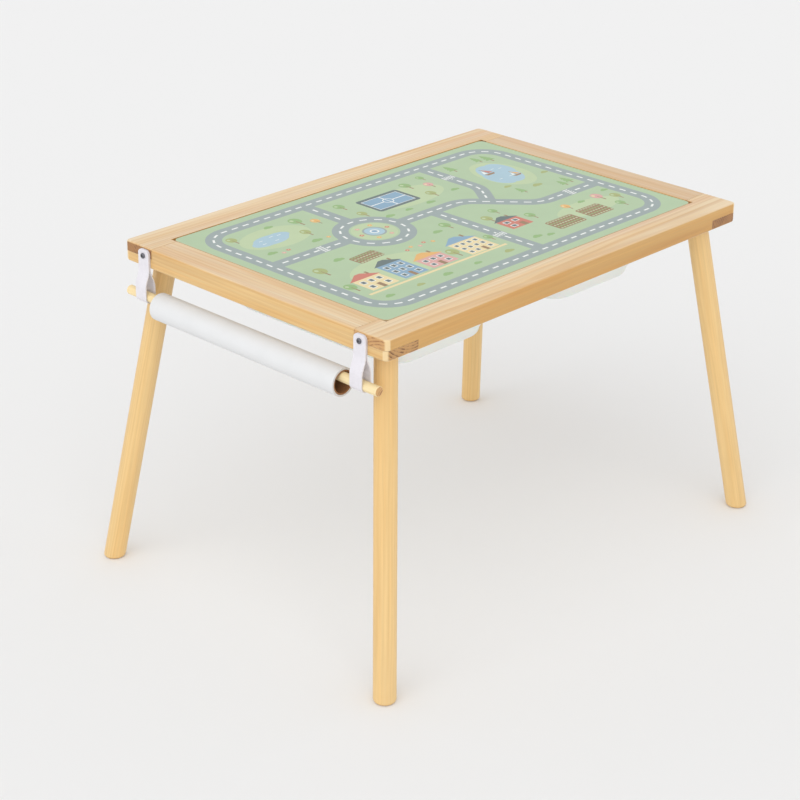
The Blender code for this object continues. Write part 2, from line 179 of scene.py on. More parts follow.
class WoodSettings(PropertyGroup):
    """The pine of the frame and the paler wood of the legs and the rod."""

    face: colour_setting("Face", "Pine on the broad top faces", srgb(231, 209, 174))
    dull: colour_setting("Dull face", "Pine on the right rail's top face", srgb(217, 191, 158))
    # Edge, Deep edge and Tan are side-face colours: partly the pine's own edge tone, partly painted
    # shade that keeps the sides darker than the top faces, the long rails' sides most
    edge: colour_setting("Edge", "Pine on the short rails' side faces", srgb(221, 187, 130))
    deep_and_shaded: colour_setting("Deep edge", "Pine on the long rails' side faces", srgb(203, 159, 93))
    # A painted highlight: the pale band on the rails' round upright corners
    corner: colour_setting("Corner", "Pine on the sanded round corners", srgb(236, 210, 162))
    late: colour_setting("Latewood", "Dark part of each growth ring", srgb(203, 158, 102))
    blush: colour_setting("Blush", "Pinkish heartwood streaks", srgb(228, 188, 152))
    tan: colour_setting("Tan", "Darker streaks on the side faces", srgb(196, 148, 88))
    honey: colour_setting("Honey", "Tint of the golden streaks", srgb(251, 237, 214))
    end: colour_setting("End grain", "Pine where the fibres are cut across", srgb(208, 162, 106))
    end_late: colour_setting("End grain rings", "Rings on the cut ends", srgb(146, 92, 48))
    mid_end: colour_setting("Middle end grain", "The left rail's cut ends", srgb(194, 148, 92))
    dark_end: colour_setting("Dark end grain", "The darker rails' cut ends", srgb(166, 118, 70))
    dark_late: colour_setting("Dark end rings", "Rings on the darker ends", srgb(104, 64, 34))
    leg: colour_setting("Leg", "Leg wood", srgb(230, 195, 135))
    leg_late: colour_setting("Leg rings", "Dark part of a leg's grain", srgb(212, 170, 104))
    rod: colour_setting("Rod", "Rod wood", srgb(244, 224, 176))
    ring_gap: length_setting("Ring gap", "From one growth ring to the next", 0.0042)
    arris: length_setting("Arris", "Softening of the joints' sharp edges", 0.00025)


class PrintSettings(PropertyGroup):
    """The printed road picture on the lift-out board."""

    ground: colour_setting("Ground", "Grass", srgb(175, 198, 161))
    meadow: colour_setting("Meadow", "Paler grass patches", srgb(188, 206, 164))
    bush: colour_setting("Bush", "Bushes and hedges", srgb(144, 180, 118))
    olive: colour_setting("Olive", "Dull green crowns", srgb(166, 177, 113))
    road: colour_setting("Road", "Road surface", srgb(152, 165, 164))
    marking: colour_setting("Marking", "Road markings and details", srgb(240, 242, 238))
    slate: colour_setting("Slate", "Dark courts, windows and outlines", srgb(96, 112, 112))
    cream: colour_setting("Cream", "Cream walls", srgb(233, 215, 165))
    red: colour_setting("Red", "Red roofs", srgb(203, 120, 102))
    pink: colour_setting("Pink", "Pink blossom", srgb(218, 166, 160))
    orange: colour_setting("Orange", "Orange roofs and flowers", srgb(229, 178, 103))
    blue: colour_setting("Blue", "Blue walls", srgb(133, 168, 193))
    water: colour_setting("Water", "Ponds", srgb(168, 198, 212))
    brown: colour_setting("Brown", "Trunks and earth", srgb(152, 122, 88))
    road_width: length_setting("Road width", "Kerb to kerb", 0.024)
    road_inset: length_setting("Road inset", "Board's edge to the ring road's middle", 0.028)
    road_bend: length_setting("Road bend", "Radius of the ring road's corners", 0.044)
    dash_length: length_setting("Dash length", "One white dash", 0.0115)
    dash_gap: length_setting("Dash gap", "Between two dashes", 0.0095)
    dash_width: length_setting("Dash width", "Across a dash", 0.0032)


class FinishSettings(PropertyGroup):
    """Plastic, leather, paper, card and metal."""

    plastic: colour_setting("Bins", "White moulded plastic", srgb(233, 235, 231))
    strap: colour_setting("Straps", "White leather", srgb(227, 224, 230))
    strap_edge: colour_setting("Strap edge", "Cut edge of the leather", srgb(226, 221, 222))
    paper: colour_setting("Paper", "White drawing paper", srgb(222, 223, 224))
    wraps: colour_setting("Wraps", "Lines between the paper's wraps", srgb(206, 204, 200))
    card: colour_setting("Cardboard", "Wound cardboard", srgb(154, 110, 72))
    seam: colour_setting("Cardboard seam", "Wound seam of the core", srgb(84, 54, 32))
    screw: colour_setting("Screw", "Dark plated steel", srgb(122, 122, 128))
    zinc: colour_setting("Bolt", "Zinc plated steel", srgb(205, 206, 204))
    brass: colour_setting("Insert", "Brass insert nuts", srgb(214, 186, 122))
    board_core: colour_setting("Board core", "Cut edge of the board", srgb(205, 178, 138))
    board_back: colour_setting("Board back", "Underside of the board", srgb(232, 228, 216))


class StageSettings(PropertyGroup):
    """The floor, the light and the camera."""

    floor: colour_setting("Floor", "Plain pale floor", srgb(238, 238, 238))
    backdrop: colour_setting("Backdrop", "Tone behind the floor", srgb(241, 241, 241))
    floor_size: length_setting("Floor size", "Side of the floor", 40.0)
    floor_drop: length_setting("Floor drop", "How far the floor lies under the soles", 0.0001)
    overhead: strength_setting("Overhead", "Strength of the even light from above", 0.48)
    around: strength_setting("Around", "Strength of the even light from the sides", 1.5)
    sun: strength_setting("Sun", "Strength of the main light", 0.85)
    sun_spread: angle_setting("Sun spread", "Angle over which the main light is spread", 70)
    sun_towards: FloatVectorProperty(
        name="Sun towards",
        description="Direction from the table to the main light",
        subtype="XYZ",
        default=(-0.60, -0.30, 0.80),
    )
    camera_place: FloatVectorProperty(
        name="Camera place",
        description="Where the camera stands",
        unit="LENGTH",
        default=(-2.1081, -1.9424, 1.5428),
    )
    azimuth: angle_setting("Azimuth", "Heading of the camera from +Y towards +X", 46.27)
    elevation: angle_setting("Elevation", "How far the camera looks down", 24.79)
    roll: angle_setting("Roll", "Tilt of the picture", 0.55)
    lens: FloatProperty(
        name="Lens", description="Focal length for the sensor, in millimetres", default=94.51
    )
    sensor: FloatProperty(
        name="Sensor", description="Width of the sensor, in millimetres", default=36.0
    )


class ActivityTableSettings(PropertyGroup):
    """Everything that a user may change."""

    wood: PointerProperty(type=WoodSettings, name="Wood", description="Wood colours and grain")
    picture: PointerProperty(type=PrintSettings, name="Print", description="The board's picture")
    finish: PointerProperty(type=FinishSettings, name="Finishes", description="Other finishes")
    stage: PointerProperty(type=StageSettings, name="Stage", description="Light and camera")
    round_steps: IntProperty(
        name="Round steps", description="Facets round a turned piece", default=64, min=12
    )


# Materials


def opaque(colour):
    return (*colour, 1.0)


def add_node(tree, kind, inputs=None, **settings):
    """A new node. Each input takes a value or another node's output."""
    made = tree.nodes.new(kind)
    for name, value in settings.items():
        setattr(made, name, value)
    for socket, value in (inputs or {}).items():
        if isinstance(value, bpy.types.NodeSocket):
            tree.links.new(value, made.inputs[socket])
        else:
            made.inputs[socket].default_value = value
    return made


def start_material(name, roughness, **shader_values):
    """A material, its tree and its shader, with the constant values on the shader itself."""
    material = bpy.data.materials.new(name)
    material.use_nodes = True
    tree = material.node_tree
    shader = tree.nodes["Principled BSDF"]
    shader.inputs["Roughness"].default_value = roughness
    for socket, value in shader_values.items():
        shader.inputs[socket.replace("_", " ").title()].default_value = value
    return material, tree, shader


def mixed(tree, share, first, second, mode="MIX"):
    inputs = {0: share, 6: first, 7: second}
    return add_node(tree, "ShaderNodeMix", inputs, data_type="RGBA", blend_type=mode).outputs[2]


def shaded(tree, colour, brightness):
    return mixed(tree, 1.0, colour, brightness, "MULTIPLY")


def computed(tree, operation, first, second=0.0):
    """A value from two others."""
    return add_node(tree, "ShaderNodeMath", {0: first, 1: second}, operation=operation).outputs[0]


def remapped(tree, value, low, high, out_low=0.0, out_high=1.0):
    inputs = {
        "Value": value,
        "From Min": low,
        "From Max": high,
        "To Min": out_low,
        "To Max": out_high,
    }
    return add_node(tree, "ShaderNodeMapRange", inputs).outputs["Result"]


def spread_out(tree, pattern, low, high):
    """A noise pattern's middle range, stretched between two values."""
    return remapped(tree, pattern, 0.3, 0.7, low, high)


def mottled(tree, colour, pattern, dark, light):
    """A colour made darker and lighter by a noise pattern."""
    return shaded(tree, colour, spread_out(tree, pattern, dark, light))


def object_place(tree):
    return add_node(tree, "ShaderNodeTexCoord").outputs["Object"]


def mapped(tree, vector, location=(0, 0, 0), rotation=(0, 0, 0), scale=(1, 1, 1)):
    inputs = {"Vector": vector, "Location": location, "Rotation": rotation, "Scale": scale}
    return add_node(tree, "ShaderNodeMapping", inputs).outputs[0]


def noise(tree, vector, scale, detail=2.0, roughness=0.5):
    inputs = {"Vector": vector, "Scale": scale, "Detail": detail, "Roughness": roughness}
    return add_node(tree, "ShaderNodeTexNoise", inputs).outputs[0]


def stepped(tree, value, stops):
    """A grey curve through (position, brightness) stops."""
    ramp = add_node(tree, "ShaderNodeValToRGB", {"Fac": value})
    elements = ramp.color_ramp.elements
    while len(elements) < len(stops):
        elements.new(1.0)
    for element, (position, brightness) in zip(elements, stops):
        element.position = position
        element.color = (brightness, brightness, brightness, 1.0)
    return ramp.outputs[0]


def facing(tree, direction):
    """How squarely the surface faces along a direction, either way, from 0 to 1."""
    normal = add_node(tree, "ShaderNodeTexCoord").outputs["Normal"]
    dot = add_node(tree, "ShaderNodeVectorMath", {0: normal, 1: direction}, operation="DOT_PRODUCT")
    return computed(tree, "ABSOLUTE", dot.outputs["Value"])


def dress(tree, shader, colour, height, depth, roughness=None):
    """Joins colour, bump and, where it varies, roughness to the shader."""
    tree.links.new(colour, shader.inputs["Base Color"])
    if roughness is not None:
        tree.links.new(roughness, shader.inputs["Roughness"])
    bump = add_node(tree, "ShaderNodeBump", {"Height": height, "Distance": depth})
    tree.links.new(bump.outputs[0], shader.inputs["Normal"])


def wood_material(
    name, wood, grain, centre, pith, pale, late, cut=None, edge=None, rings=0.5, blush=0.6, honey=1.0
):
    """Wood with growth rings about a pith line along the grain, fibres, streaks and end grain.

    pith is the shift of the pattern along the grain and across it. cut holds the two colours of
    the end grain. edge is the colour of the side faces of a squared piece: partly the pine's own
    edge tone, partly painted shade that keeps the sides darker than the top. Its round corners
    get a pale painted highlight. rings, blush and honey are the strengths of the rings and of
    the pinkish and golden streaks.
    """
    material, tree, shader = start_material(name, 0.45, coat_weight=0.1, coat_roughness=0.35)
    turn = Vector(grain).rotation_difference(Vector((1, 0, 0)))
    along = mapped(
        tree,
        object_place(tree),
        location=Vector(pith) - turn @ Vector(centre),
        rotation=turn.to_euler(),
    )
    wave = {
        "Vector": mapped(tree, along, scale=(0.11, 1, 1)),
        "Scale": math.tau / 20 / wood.ring_gap,
        "Distortion": 13.0,
        "Detail": 3.0,
        "Detail Scale": 0.2,
        "Detail Roughness": 0.45,
    }
    saw = add_node(
        tree,
        "ShaderNodeTexWave",
        wave,
        wave_type="RINGS",
        rings_direction="X",
        wave_profile="SAW",
    ).outputs["Fac"]
    latewood = stepped(tree, saw, ((0, 0), (0.40, 0.15), (0.82, 0.9), (0.93, 1), (1, 0)))
    fibre = noise(tree, mapped(tree, along, scale=(9, 420, 420)), 1.0, 3.0, 0.6)
    streak = noise(tree, mapped(tree, along, scale=(1.6, 34, 34)), 1.0, 3.0, 0.55)
    golden = noise(tree, mapped(tree, along, (5, 2, 1), scale=(2.2, 48, 48)), 1.0, 3.0, 0.6)
    cloud = noise(tree, mapped(tree, along, scale=(3, 11, 11)), 1.0, 2.0)

    base = opaque(pale)
    blushed = opaque(wood.blush)
    # Side faces take the darker edge and tan colours: partly the pine's own edge tone, partly painted
    # shade
    if edge is not None:
        upward = remapped(tree, facing(tree, (0, 0, 1)), 0.35, 0.9)
        base = mixed(tree, upward, opaque(edge), base)
        blushed = mixed(tree, upward, opaque(wood.tan), blushed)
    strength = remapped(tree, cloud, 0.35, 0.65, rings / 2, rings)
    share = computed(tree, "MULTIPLY", latewood, strength)
    colour = mixed(tree, share, base, opaque(late))
    colour = mixed(tree, remapped(tree, streak, 0.5, 0.68, 0, blush), colour, blushed)
    gold = remapped(tree, golden, 0.42, 0.62, 0, honey)
    tint = mixed(tree, gold, (1, 1, 1, 1), opaque(wood.honey))
    colour = shaded(tree, colour, tint)
    colour = mottled(tree, colour, fibre, 0.94, 1.05)
    colour = mottled(tree, colour, streak, 1.05, 0.95)
    # Painted highlight: a pale band on the round upright corners, where a face looks along both X and
    # Y
    if edge is not None:
        diagonal = computed(tree, "MULTIPLY", facing(tree, (1, 0, 0)), facing(tree, (0, 1, 0)))
        highlighted = remapped(tree, diagonal, 0.02, 0.22, 0, 0.85)
        colour = mixed(tree, highlighted, colour, opaque(wood.corner))

    pale_end, dark_ring = cut or (wood.end, wood.end_late)
    pores = noise(tree, along, 1500.0, 2.0, 0.7)
    patches = noise(tree, along, 90.0, 2.0, 0.6)
    ring = computed(tree, "MULTIPLY", latewood, remapped(tree, patches, 0.42, 0.6, 0.1, 1.0))
    across = mixed(tree, ring, opaque(pale_end), opaque(dark_ring))
    across = mottled(tree, across, pores, 0.86, 1.1)
    colour = mixed(tree, remapped(tree, facing(tree, grain), 0.80, 0.96), colour, across)
    relief = computed(tree, "ADD", fibre, computed(tree, "MULTIPLY", latewood, 0.6))
    dress(tree, shader, colour, relief, 0.00005, spread_out(tree, fibre, 0.40, 0.54))
    return material


def ink_material(name, colour):
    """Satin printing ink on a smooth board, very slightly mottled."""
    material, tree, shader = start_material(name, 0.5, coat_weight=0.08, coat_roughness=0.3)
    place = object_place(tree)
    mottle = noise(tree, place, 900.0, 2.0, 0.6)
    colour = mottled(tree, opaque(colour), mottle, 0.975, 1.025)
    colour = mottled(tree, colour, noise(tree, place, 40.0), 0.985, 1.015)
    dress(tree, shader, colour, mottle, 0.00001, spread_out(tree, mottle, 0.42, 0.54))
    return material


def pressed_board_material(name, colour):
    """Pressed fibreboard with fine dark specks."""
    material, tree, shader = start_material(name, 0.8)
    place = object_place(tree)
    specks = noise(tree, mapped(tree, place, scale=(1, 1, 3)), 700.0, 3.0, 0.7)
    colour = mottled(tree, opaque(colour), specks, 0.85, 1.1)
    colour = mottled(tree, colour, noise(tree, place, 90.0), 0.95, 1.04)
    dress(tree, shader, colour, specks, 0.00005)
    return material


def plastic_material(name, colour):
    """White moulded plastic: a little light goes in, and the skin is finely dimpled."""
    material, tree, shader = start_material(
        name, 0.4, subsurface_weight=0.2, subsurface_scale=0.004
    )
    place = object_place(tree)
    dimples = noise(tree, place, 1300.0)
    flow = noise(tree, mapped(tree, place, scale=(1, 1, 3)), 7.0)
    colour = mottled(tree, opaque(colour), flow, 0.975, 1.01)
    dress(tree, shader, colour, dimples, 0.00002, spread_out(tree, dimples, 0.34, 0.46))
    return material


def leather_material(name, face, edge):
    """White leather: pebbled skin on the faces, plain fibre on the cut edges."""
    material, tree, shader = start_material(name, 0.55, sheen_weight=0.15, sheen_roughness=0.5)
    place = object_place(tree)
    cells = {"Vector": place, "Scale": 1100.0}
    to_edge = add_node(tree, "ShaderNodeTexVoronoi", cells, feature="DISTANCE_TO_EDGE")
    skin = remapped(tree, to_edge.outputs["Distance"], 0.0, 0.12)
    cut = remapped(tree, facing(tree, (0, 1, 0)), 0.75, 0.95)
    colour = mixed(tree, cut, opaque(face), opaque(edge))
    # Painted shade: the creases between the pebbles are a little darker
    colour = shaded(tree, colour, remapped(tree, skin, 0.0, 1.0, 0.95, 1.0))
    colour = mottled(tree, colour, noise(tree, place, 130.0), 0.97, 1.02)
    dress(tree, shader, colour, skin, 0.00005, remapped(tree, skin, 0.0, 1.0, 0.7, 0.5))
    return material


def paper_material(name, face, wraps, axis_point):
    """Uncoated paper: fine tooth outside, and the edges of its wraps on the ends."""
    material, tree, shader = start_material(name, 0.85)
    place = object_place(tree)
    tooth = noise(tree, place, 2200.0, 3.0, 0.65)
    about_axis = mapped(tree, place, location=(-axis_point.x, 0, -axis_point.z), scale=(1, 0, 1))
    radius = add_node(tree, "ShaderNodeVectorMath", {0: about_axis}, operation="LENGTH")
    layers = computed(tree, "MULTIPLY", radius.outputs["Value"], 5200.0)
    rows = add_node(
        tree, "ShaderNodeTexNoise", {"W": layers, "Scale": 1.0}, noise_dimensions="1D"
    ).outputs[0]
    on_end = remapped(tree, facing(tree, (0, 1, 0)), 0.6, 0.9)
    lines = computed(tree, "MULTIPLY", on_end, remapped(tree, rows, 0.42, 0.62, 0.1, 1.0))
    colour = mixed(tree, lines, opaque(face), opaque(wraps))
    colour = mottled(tree, colour, noise(tree, place, 35.0), 0.985, 1.01)
    dress(tree, shader, colour, computed(tree, "ADD", tooth, lines), 0.00003)
    return material


def card_material(name, colour, seam, axis_point, pitch):
    """Spiral-wound cardboard: fibres, and a dark seam that climbs round the tube."""
    material, tree, shader = start_material(name, 0.9)
    place = object_place(tree)
    centred = mapped(tree, place, location=(-axis_point.x, 0, -axis_point.z))
    part = add_node(tree, "ShaderNodeSeparateXYZ", {0: centred}).outputs
    turns = computed(tree, "DIVIDE", computed(tree, "ARCTAN2", part["Z"], part["X"]), math.tau)
    climb = computed(tree, "ADD", computed(tree, "DIVIDE", part["Y"], pitch), turns)
    line = remapped(tree, computed(tree, "PINGPONG", climb, 0.5), 0.0, 0.03, 1.0, 0.0)
    fibre = noise(tree, mapped(tree, place, scale=(1, 3, 1)), 420.0, 4.0, 0.7)
    fibrous = mottled(tree, opaque(colour), fibre, 0.8, 1.15)
    colour = mixed(tree, line, fibrous, opaque(seam))
    dress(tree, shader, colour, computed(tree, "SUBTRACT", fibre, line), 0.00008)
    return material


def metal_material(name, colour, roughness):
    """Plated metal with faint scuffs."""
    material, tree, shader = start_material(name, roughness, metallic=1.0)
    scuff = noise(tree, object_place(tree), 320.0, 3.0, 0.6)
    colour = mottled(tree, opaque(colour), scuff, 0.9, 1.05)
    varied = spread_out(tree, scuff, roughness - 0.08, roughness + 0.1)
    dress(tree, shader, colour, scuff, 0.00001, varied)
    return material


def thread_material(name, colour, axis, centre, pitch):
    """Plated steel with a screw thread about an axis."""
    material, tree, shader = start_material(name, 0.35, metallic=1.0)
    turn = Vector(axis).rotation_difference(Vector((0, 0, 1)))
    place = mapped(
        tree, object_place(tree), location=-(turn @ Vector(centre)), rotation=turn.to_euler()
    )
    part = add_node(tree, "ShaderNodeSeparateXYZ", {0: place}).outputs
    turns = computed(tree, "DIVIDE", computed(tree, "ARCTAN2", part["Y"], part["X"]), math.tau)
    climb = computed(tree, "ADD", computed(tree, "DIVIDE", part["Z"], pitch), turns)
    flank = computed(tree, "PINGPONG", climb, 0.5)
    # Painted shade and highlight: the thread is darker in its grooves and lighter on its crests
    colour = shaded(tree, opaque(colour), remapped(tree, flank, 0.0, 0.5, 0.55, 1.05))
    dress(tree, shader, colour, flank, 0.0008)
    return material


# Shapes


def block(low, high):
    low, high = Vector(low), Vector(high)
    bm = bmesh.new()
    bmesh.ops.create_cube(bm, size=1.0)
    bmesh.ops.scale(bm, vec=high - low, verts=bm.verts)
    bmesh.ops.translate(bm, vec=(low + high) / 2, verts=bm.verts)
    return bm


def rod(start, end, radius, steps):
    """A round bar between two points."""
    start, end = Vector(start), Vector(end)
    bm = bmesh.new()
    bmesh.ops.create_cone(
        bm,
        cap_ends=True,
        segments=steps,
        radius1=radius,
        radius2=radius,
        depth=(end - start).length,
    )
    turn = (end - start).to_track_quat("Z", "Y").to_matrix().to_4x4()
    place = Matrix.Translation((start + end) / 2) @ turn
    bmesh.ops.transform(bm, matrix=place, verts=bm.verts)
    return bm


def round_over(bm, geometry, width, steps, affect="EDGES"):
    """Rounds edges, or the corners of a flat face."""
    bmesh.ops.bevel(
        bm,
        geom=geometry,
        offset=width,
        offset_type="OFFSET",
        segments=steps,
        profile=0.5,
        affect=affect,
        clamp_overlap=False,
        material=-1,
    )


def edges_in(geometry):
    return [item for item in geometry if isinstance(item, bmesh.types.BMEdge)]


def verts_in(geometry):
    return [item for item in geometry if isinstance(item, bmesh.types.BMVert)]


def level_edges(bm, level):
    """The edges that lie at a height."""
    return [e for e in bm.edges if all(abs(vert.co.z - level) < SAME_PLACE for vert in e.verts)]


def plate(low, high, corner, edge, corner_steps, edge_steps):
    """A flat block with round corners in plan and rounded rims."""
    bm = block(low, high)
    upright = [e for e in bm.edges if abs(e.verts[0].co.z - e.verts[1].co.z) > edge]
    round_over(bm, upright, corner, corner_steps)
    round_over(bm, level_edges(bm, low.z) + level_edges(bm, high.z), edge, edge_steps)
    return bm


def soften(bm, width, steps):
    """Rounds the outward edges that are left sharp."""
    sharp = [
        e
        for e in bm.edges
        if len(e.link_faces) == 2 and e.is_convex and e.calc_face_angle() > SHARP_EDGE
    ]
    round_over(bm, sharp, width, steps)


def turned(profile, start, direction, steps):
    """Points of (radius, distance along), spun about a line from a start point."""
    bm = bmesh.new()
    corners = [bm.verts.new((radius, 0, height)) for radius, height in profile]
    edges = [bm.edges.new(pair) for pair in zip(corners, corners[1:])]
    if profile[0][0] > 0:
        edges.append(bm.edges.new((corners[-1], corners[0])))
    bmesh.ops.spin(
        bm,
        geom=corners + edges,
        cent=(0, 0, 0),
        axis=(0, 0, 1),
        angle=math.tau,
        steps=steps,
        use_merge=True,
    )
    bmesh.ops.remove_doubles(bm, verts=bm.verts, dist=SAME_PLACE)
    bmesh.ops.recalc_face_normals(bm, faces=bm.faces)
    turn = Vector(direction).to_track_quat("Z", "Y").to_matrix().to_4x4()
    bmesh.ops.transform(bm, matrix=Matrix.Translation(start) @ turn, verts=bm.verts)
    return bm


def round_corner(radius_in, radius_out, near, far, steps):
    """Profile points of a quarter round, from (radius_out, near) to (radius_in, far)."""
    points = []
    for step in range(steps + 1):
        angle = math.pi / 2 * step / steps
        radius = radius_in + (radius_out - radius_in) * math.cos(angle)
        points.append((radius, near + (far - near) * math.sin(angle)))
    return points


def add_modifier(piece, kind, **values):
    modifier = piece.modifiers.new(kind.title(), kind)
    for name, value in values.items():
        setattr(modifier, name, value)


def rounding(width, segments, sharp):
    """Values of a Bevel that rounds the edges sharper than an angle."""
    return {"width": width, "segments": segments, "limit_method": "ANGLE", "angle_limit": sharp}


def carve(bm, tools, before=()):
    """The blank after its own modifiers and each (operation, tool) Boolean. All are used up."""
    scene = bpy.context.scene.collection
    helpers = []
    for shape in [bm] + [tool for _, tool in tools]:
        helper = bpy.data.objects.new("carving", bpy.data.meshes.new("carving"))
        shape.to_mesh(helper.data)
        shape.free()
        scene.objects.link(helper)
        helpers.append(helper)
    for kind, values in before:
        add_modifier(helpers[0], kind, **values)
    for (operation, _), helper in zip(tools, helpers[1:]):
        add_modifier(helpers[0], "BOOLEAN", operation=operation, solver="EXACT", object=helper)
    graph = bpy.context.evaluated_depsgraph_get()
    carved = bpy.data.meshes.new_from_object(helpers[0].evaluated_get(graph))
    result = bmesh.new()
    result.from_mesh(carved)
    bpy.data.meshes.remove(carved)
    for helper in helpers:
        bpy.data.objects.remove(helper)
    bmesh.ops.remove_doubles(result, verts=result.verts, dist=CUT_WELD)
    return result


def make_piece(name, bm, materials, body, nodes, sharp=38, modifiers=(), flats=True):
    """A finished mesh object in the scene, riding on its body in place of its solids.

    sharp is the angle, in degrees, past which an edge shows as sharp. flats shades the broad
    faces flat and only their rounded rims round.
    """
    mesh = bpy.data.meshes.new(name)
    bm.to_mesh(mesh)
    bm.free()
    for material in materials:
        mesh.materials.append(material)
    mesh.shade_smooth()
    mesh.set_sharp_from_angle(angle=math.radians(sharp))
    piece = bpy.data.objects.new(name, mesh)
    bpy.context.scene.collection.objects.link(piece)
    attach(piece, body)
    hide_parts(*nodes)
    for kind, values in modifiers:
        add_modifier(piece, kind, **values)
    if flats:
        add_modifier(piece, "WEIGHTED_NORMAL", keep_sharp=True)


def settings_of(context):
    return context.scene.activity_table


# Legs and their fastenings


def leg_line(corner):
    """The middle of a leg's foot and of its top, and the unit vector up it."""
    side_x, side_y = CORNERS[corner]
    top = Vector(
        (side_x * (FRAME_HIGH.x - LEG_INSET), side_y * (FRAME_HIGH.y - LEG_INSET), FRAME_LOW.z)
    )
    foot = Vector((top.x + side_x * LEG_SPREAD, top.y + side_y * LEG_SPREAD, 0.0))
    return foot, top, (top - foot).normalized()


def leg_mesh(corner, steps):
    """A round bar cut level at the floor and under the frame, bored for its bolt."""
    foot, top, along = leg_line(corner)
    bm = rod(foot - along * LEG_DIAMETER, top + along * LEG_DIAMETER, LEG_DIAMETER / 2, steps)
    top_level = top.z - SEAT_GAP
    on_plane = 0.0000001
    for level, outward in ((0.0, -1), (top_level, 1)):
        made = bmesh.ops.bisect_plane(
            bm,
            geom=bm.verts[:] + bm.edges[:] + bm.faces[:],
            dist=on_plane,
            plane_co=(0, 0, level),
            plane_no=(0, 0, outward),
            clear_outer=True,
        )
        rim = edges_in(made["geom_cut"])
        bmesh.ops.contextual_create(bm, geom=rim)
    bmesh.ops.recalc_face_normals(bm, faces=bm.faces)
    round_over(bm, level_edges(bm, 0.0), LEG_FOOT_RADIUS, steps=8)
    round_over(bm, level_edges(bm, top_level), LEG_TOP_RADIUS, steps=3)
    bore = rod(
        top - along * (BOLT_DEPTH_IN_LEG + SEAT_GAP),
        top + along * LEG_DIAMETER,
        BOLT_DIAMETER / 2 + SEAT_GAP,
        HOLE_STEPS,
    )
    return carve(bm, [("DIFFERENCE", bore)])


class ACTIVITY_TABLE_OT_legs(Operator):
    """Builds the four round splayed legs, each with its own grain"""

    bl_idname = "activity_table.legs"
    bl_label = "Legs"

    def execute(self, context):
        settings = settings_of(context)
        wood = settings.wood
        piths = {
            "front_left": (0.0, 0.011, 0.015),
            "front_right": (1.7, -0.012, 0.017),
            "back_left": (3.1, 0.019, -0.008),
            "back_right": (4.9, -0.015, -0.014),
        }
        for corner, pith in piths.items():
            foot, top, along = leg_line(corner)
            grain = wood_material(
                f"{corner} leg wood",
                wood,
                along,
                (foot + top) / 2,
                pith,
                wood.leg,
                wood.leg_late,
                rings=0.34,
                blush=0.08,
                honey=0.4,
            )
            bm = leg_mesh(corner, settings.round_steps)
            node = f"leg_{corner}"
            make_piece(f"{node}_turned", bm, [grain], "table", [node])
        return {"FINISHED"}


class ACTIVITY_TABLE_OT_fastenings(Operator):
    """Gives the hidden hanger bolts a thread and the insert nuts their brass"""

    bl_idname = "activity_table.fastenings"
    bl_label = "Leg fastenings"

    def execute(self, context):
        finish = settings_of(context).finish
        brass = metal_material("insert brass", finish.brass, 0.35)
        for corner in CORNERS:
            _, top, along = leg_line(corner)
            thread = thread_material(f"{corner} bolt thread", finish.zinc, along, top, BOLT_PITCH)
            finishes = {f"hanger_bolt_{corner}": thread, f"insert_nut_{corner}": brass}
            for node, material in finishes.items():
                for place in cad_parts[node].material_slots:
                    place.material = material
        return {"FINISHED"}


# Frame


def screw_line(side):
    """The strap screw's middle on the strap's outer face, at the front (-1) or back (1)."""
    centre = middle("strap_screw_front" if side < 0 else "strap_screw_back")
    return Vector((OUTER_LEAF_X - STRAP_THICKNESS / 2 - SEAT_GAP, centre.y, centre.z))


def screw_hole(side):
    """The cutter for a strap screw, through the strap and into the rail."""
    seat = screw_line(side)
    start = seat - Vector((PAST_STRAP, 0, 0))
    end = cad_box("strap_screw_front")[1].x + SEAT_GAP
    radius = SCREW_SHANK_DIAMETER / 2 + SEAT_GAP
    return rod(start, (end, seat.y, seat.z), radius, HOLE_STEPS)


def insert_hole(corner):
    """The cutter for an insert nut, square to the leg's line."""
    _, top, along = leg_line(corner)
    end = top + along * (cad_box(f"insert_nut_{corner}")[1].z - top.z)
    start = top - along * LEG_DIAMETER
    return rod(start, end, INSERT_DIAMETER / 2 + SEAT_GAP, INSERT_HOLE_STEPS)


def slab(start, stop, low, high, across_x):
    """A cutter between two distances along Y, or along X, and between two heights."""
    start, stop = sorted((start, stop))
    if across_x:
        return block((-FAR, start, low), (FAR, stop, high))
    return block((start, -FAR, low), (stop, FAR, high))


def rail_mesh(side, long, holes):
    """A rail cut from the rounded frame blank: rabbeted inside and half-lapped at its ends."""
    below, above = 0.0, 1.0
    inner_x = FRAME_HIGH.x - RAIL_WIDTH
    inner_y = FRAME_HIGH.y - RAIL_WIDTH
    inner, lap_start = (inner_y, inner_x) if long else (inner_x, inner_y)
    tools = [("INTERSECT", slab(side * inner, side * FAR, below, above, long))]
    opening = Vector((BOARD_HIGH.x + BOARD_CLEARANCE, BOARD_HIGH.y + BOARD_CLEARANCE, above))
    ledge = BIN_HIGH.z - BIN_WALL - SEAT_GAP
    tools.append(("DIFFERENCE", block((-opening.x, -opening.y, ledge), opening)))
    low, high = (below, LAP_LEVEL + SEAT_GAP / 2) if long else (LAP_LEVEL - SEAT_GAP / 2, above)
    for end in (-1, 1):
        lap = slab(end * (lap_start - SEAT_GAP), end * FAR, low, high, not long)
        tools.append(("DIFFERENCE", lap))
    tools += [("DIFFERENCE", hole) for hole in holes]
    blank = plate(
        FRAME_LOW, FRAME_HIGH, FRAME_CORNER_RADIUS, FRAME_EDGE_RADIUS, CORNER_STEPS, edge_steps=5
    )
    return carve(blank, tools)


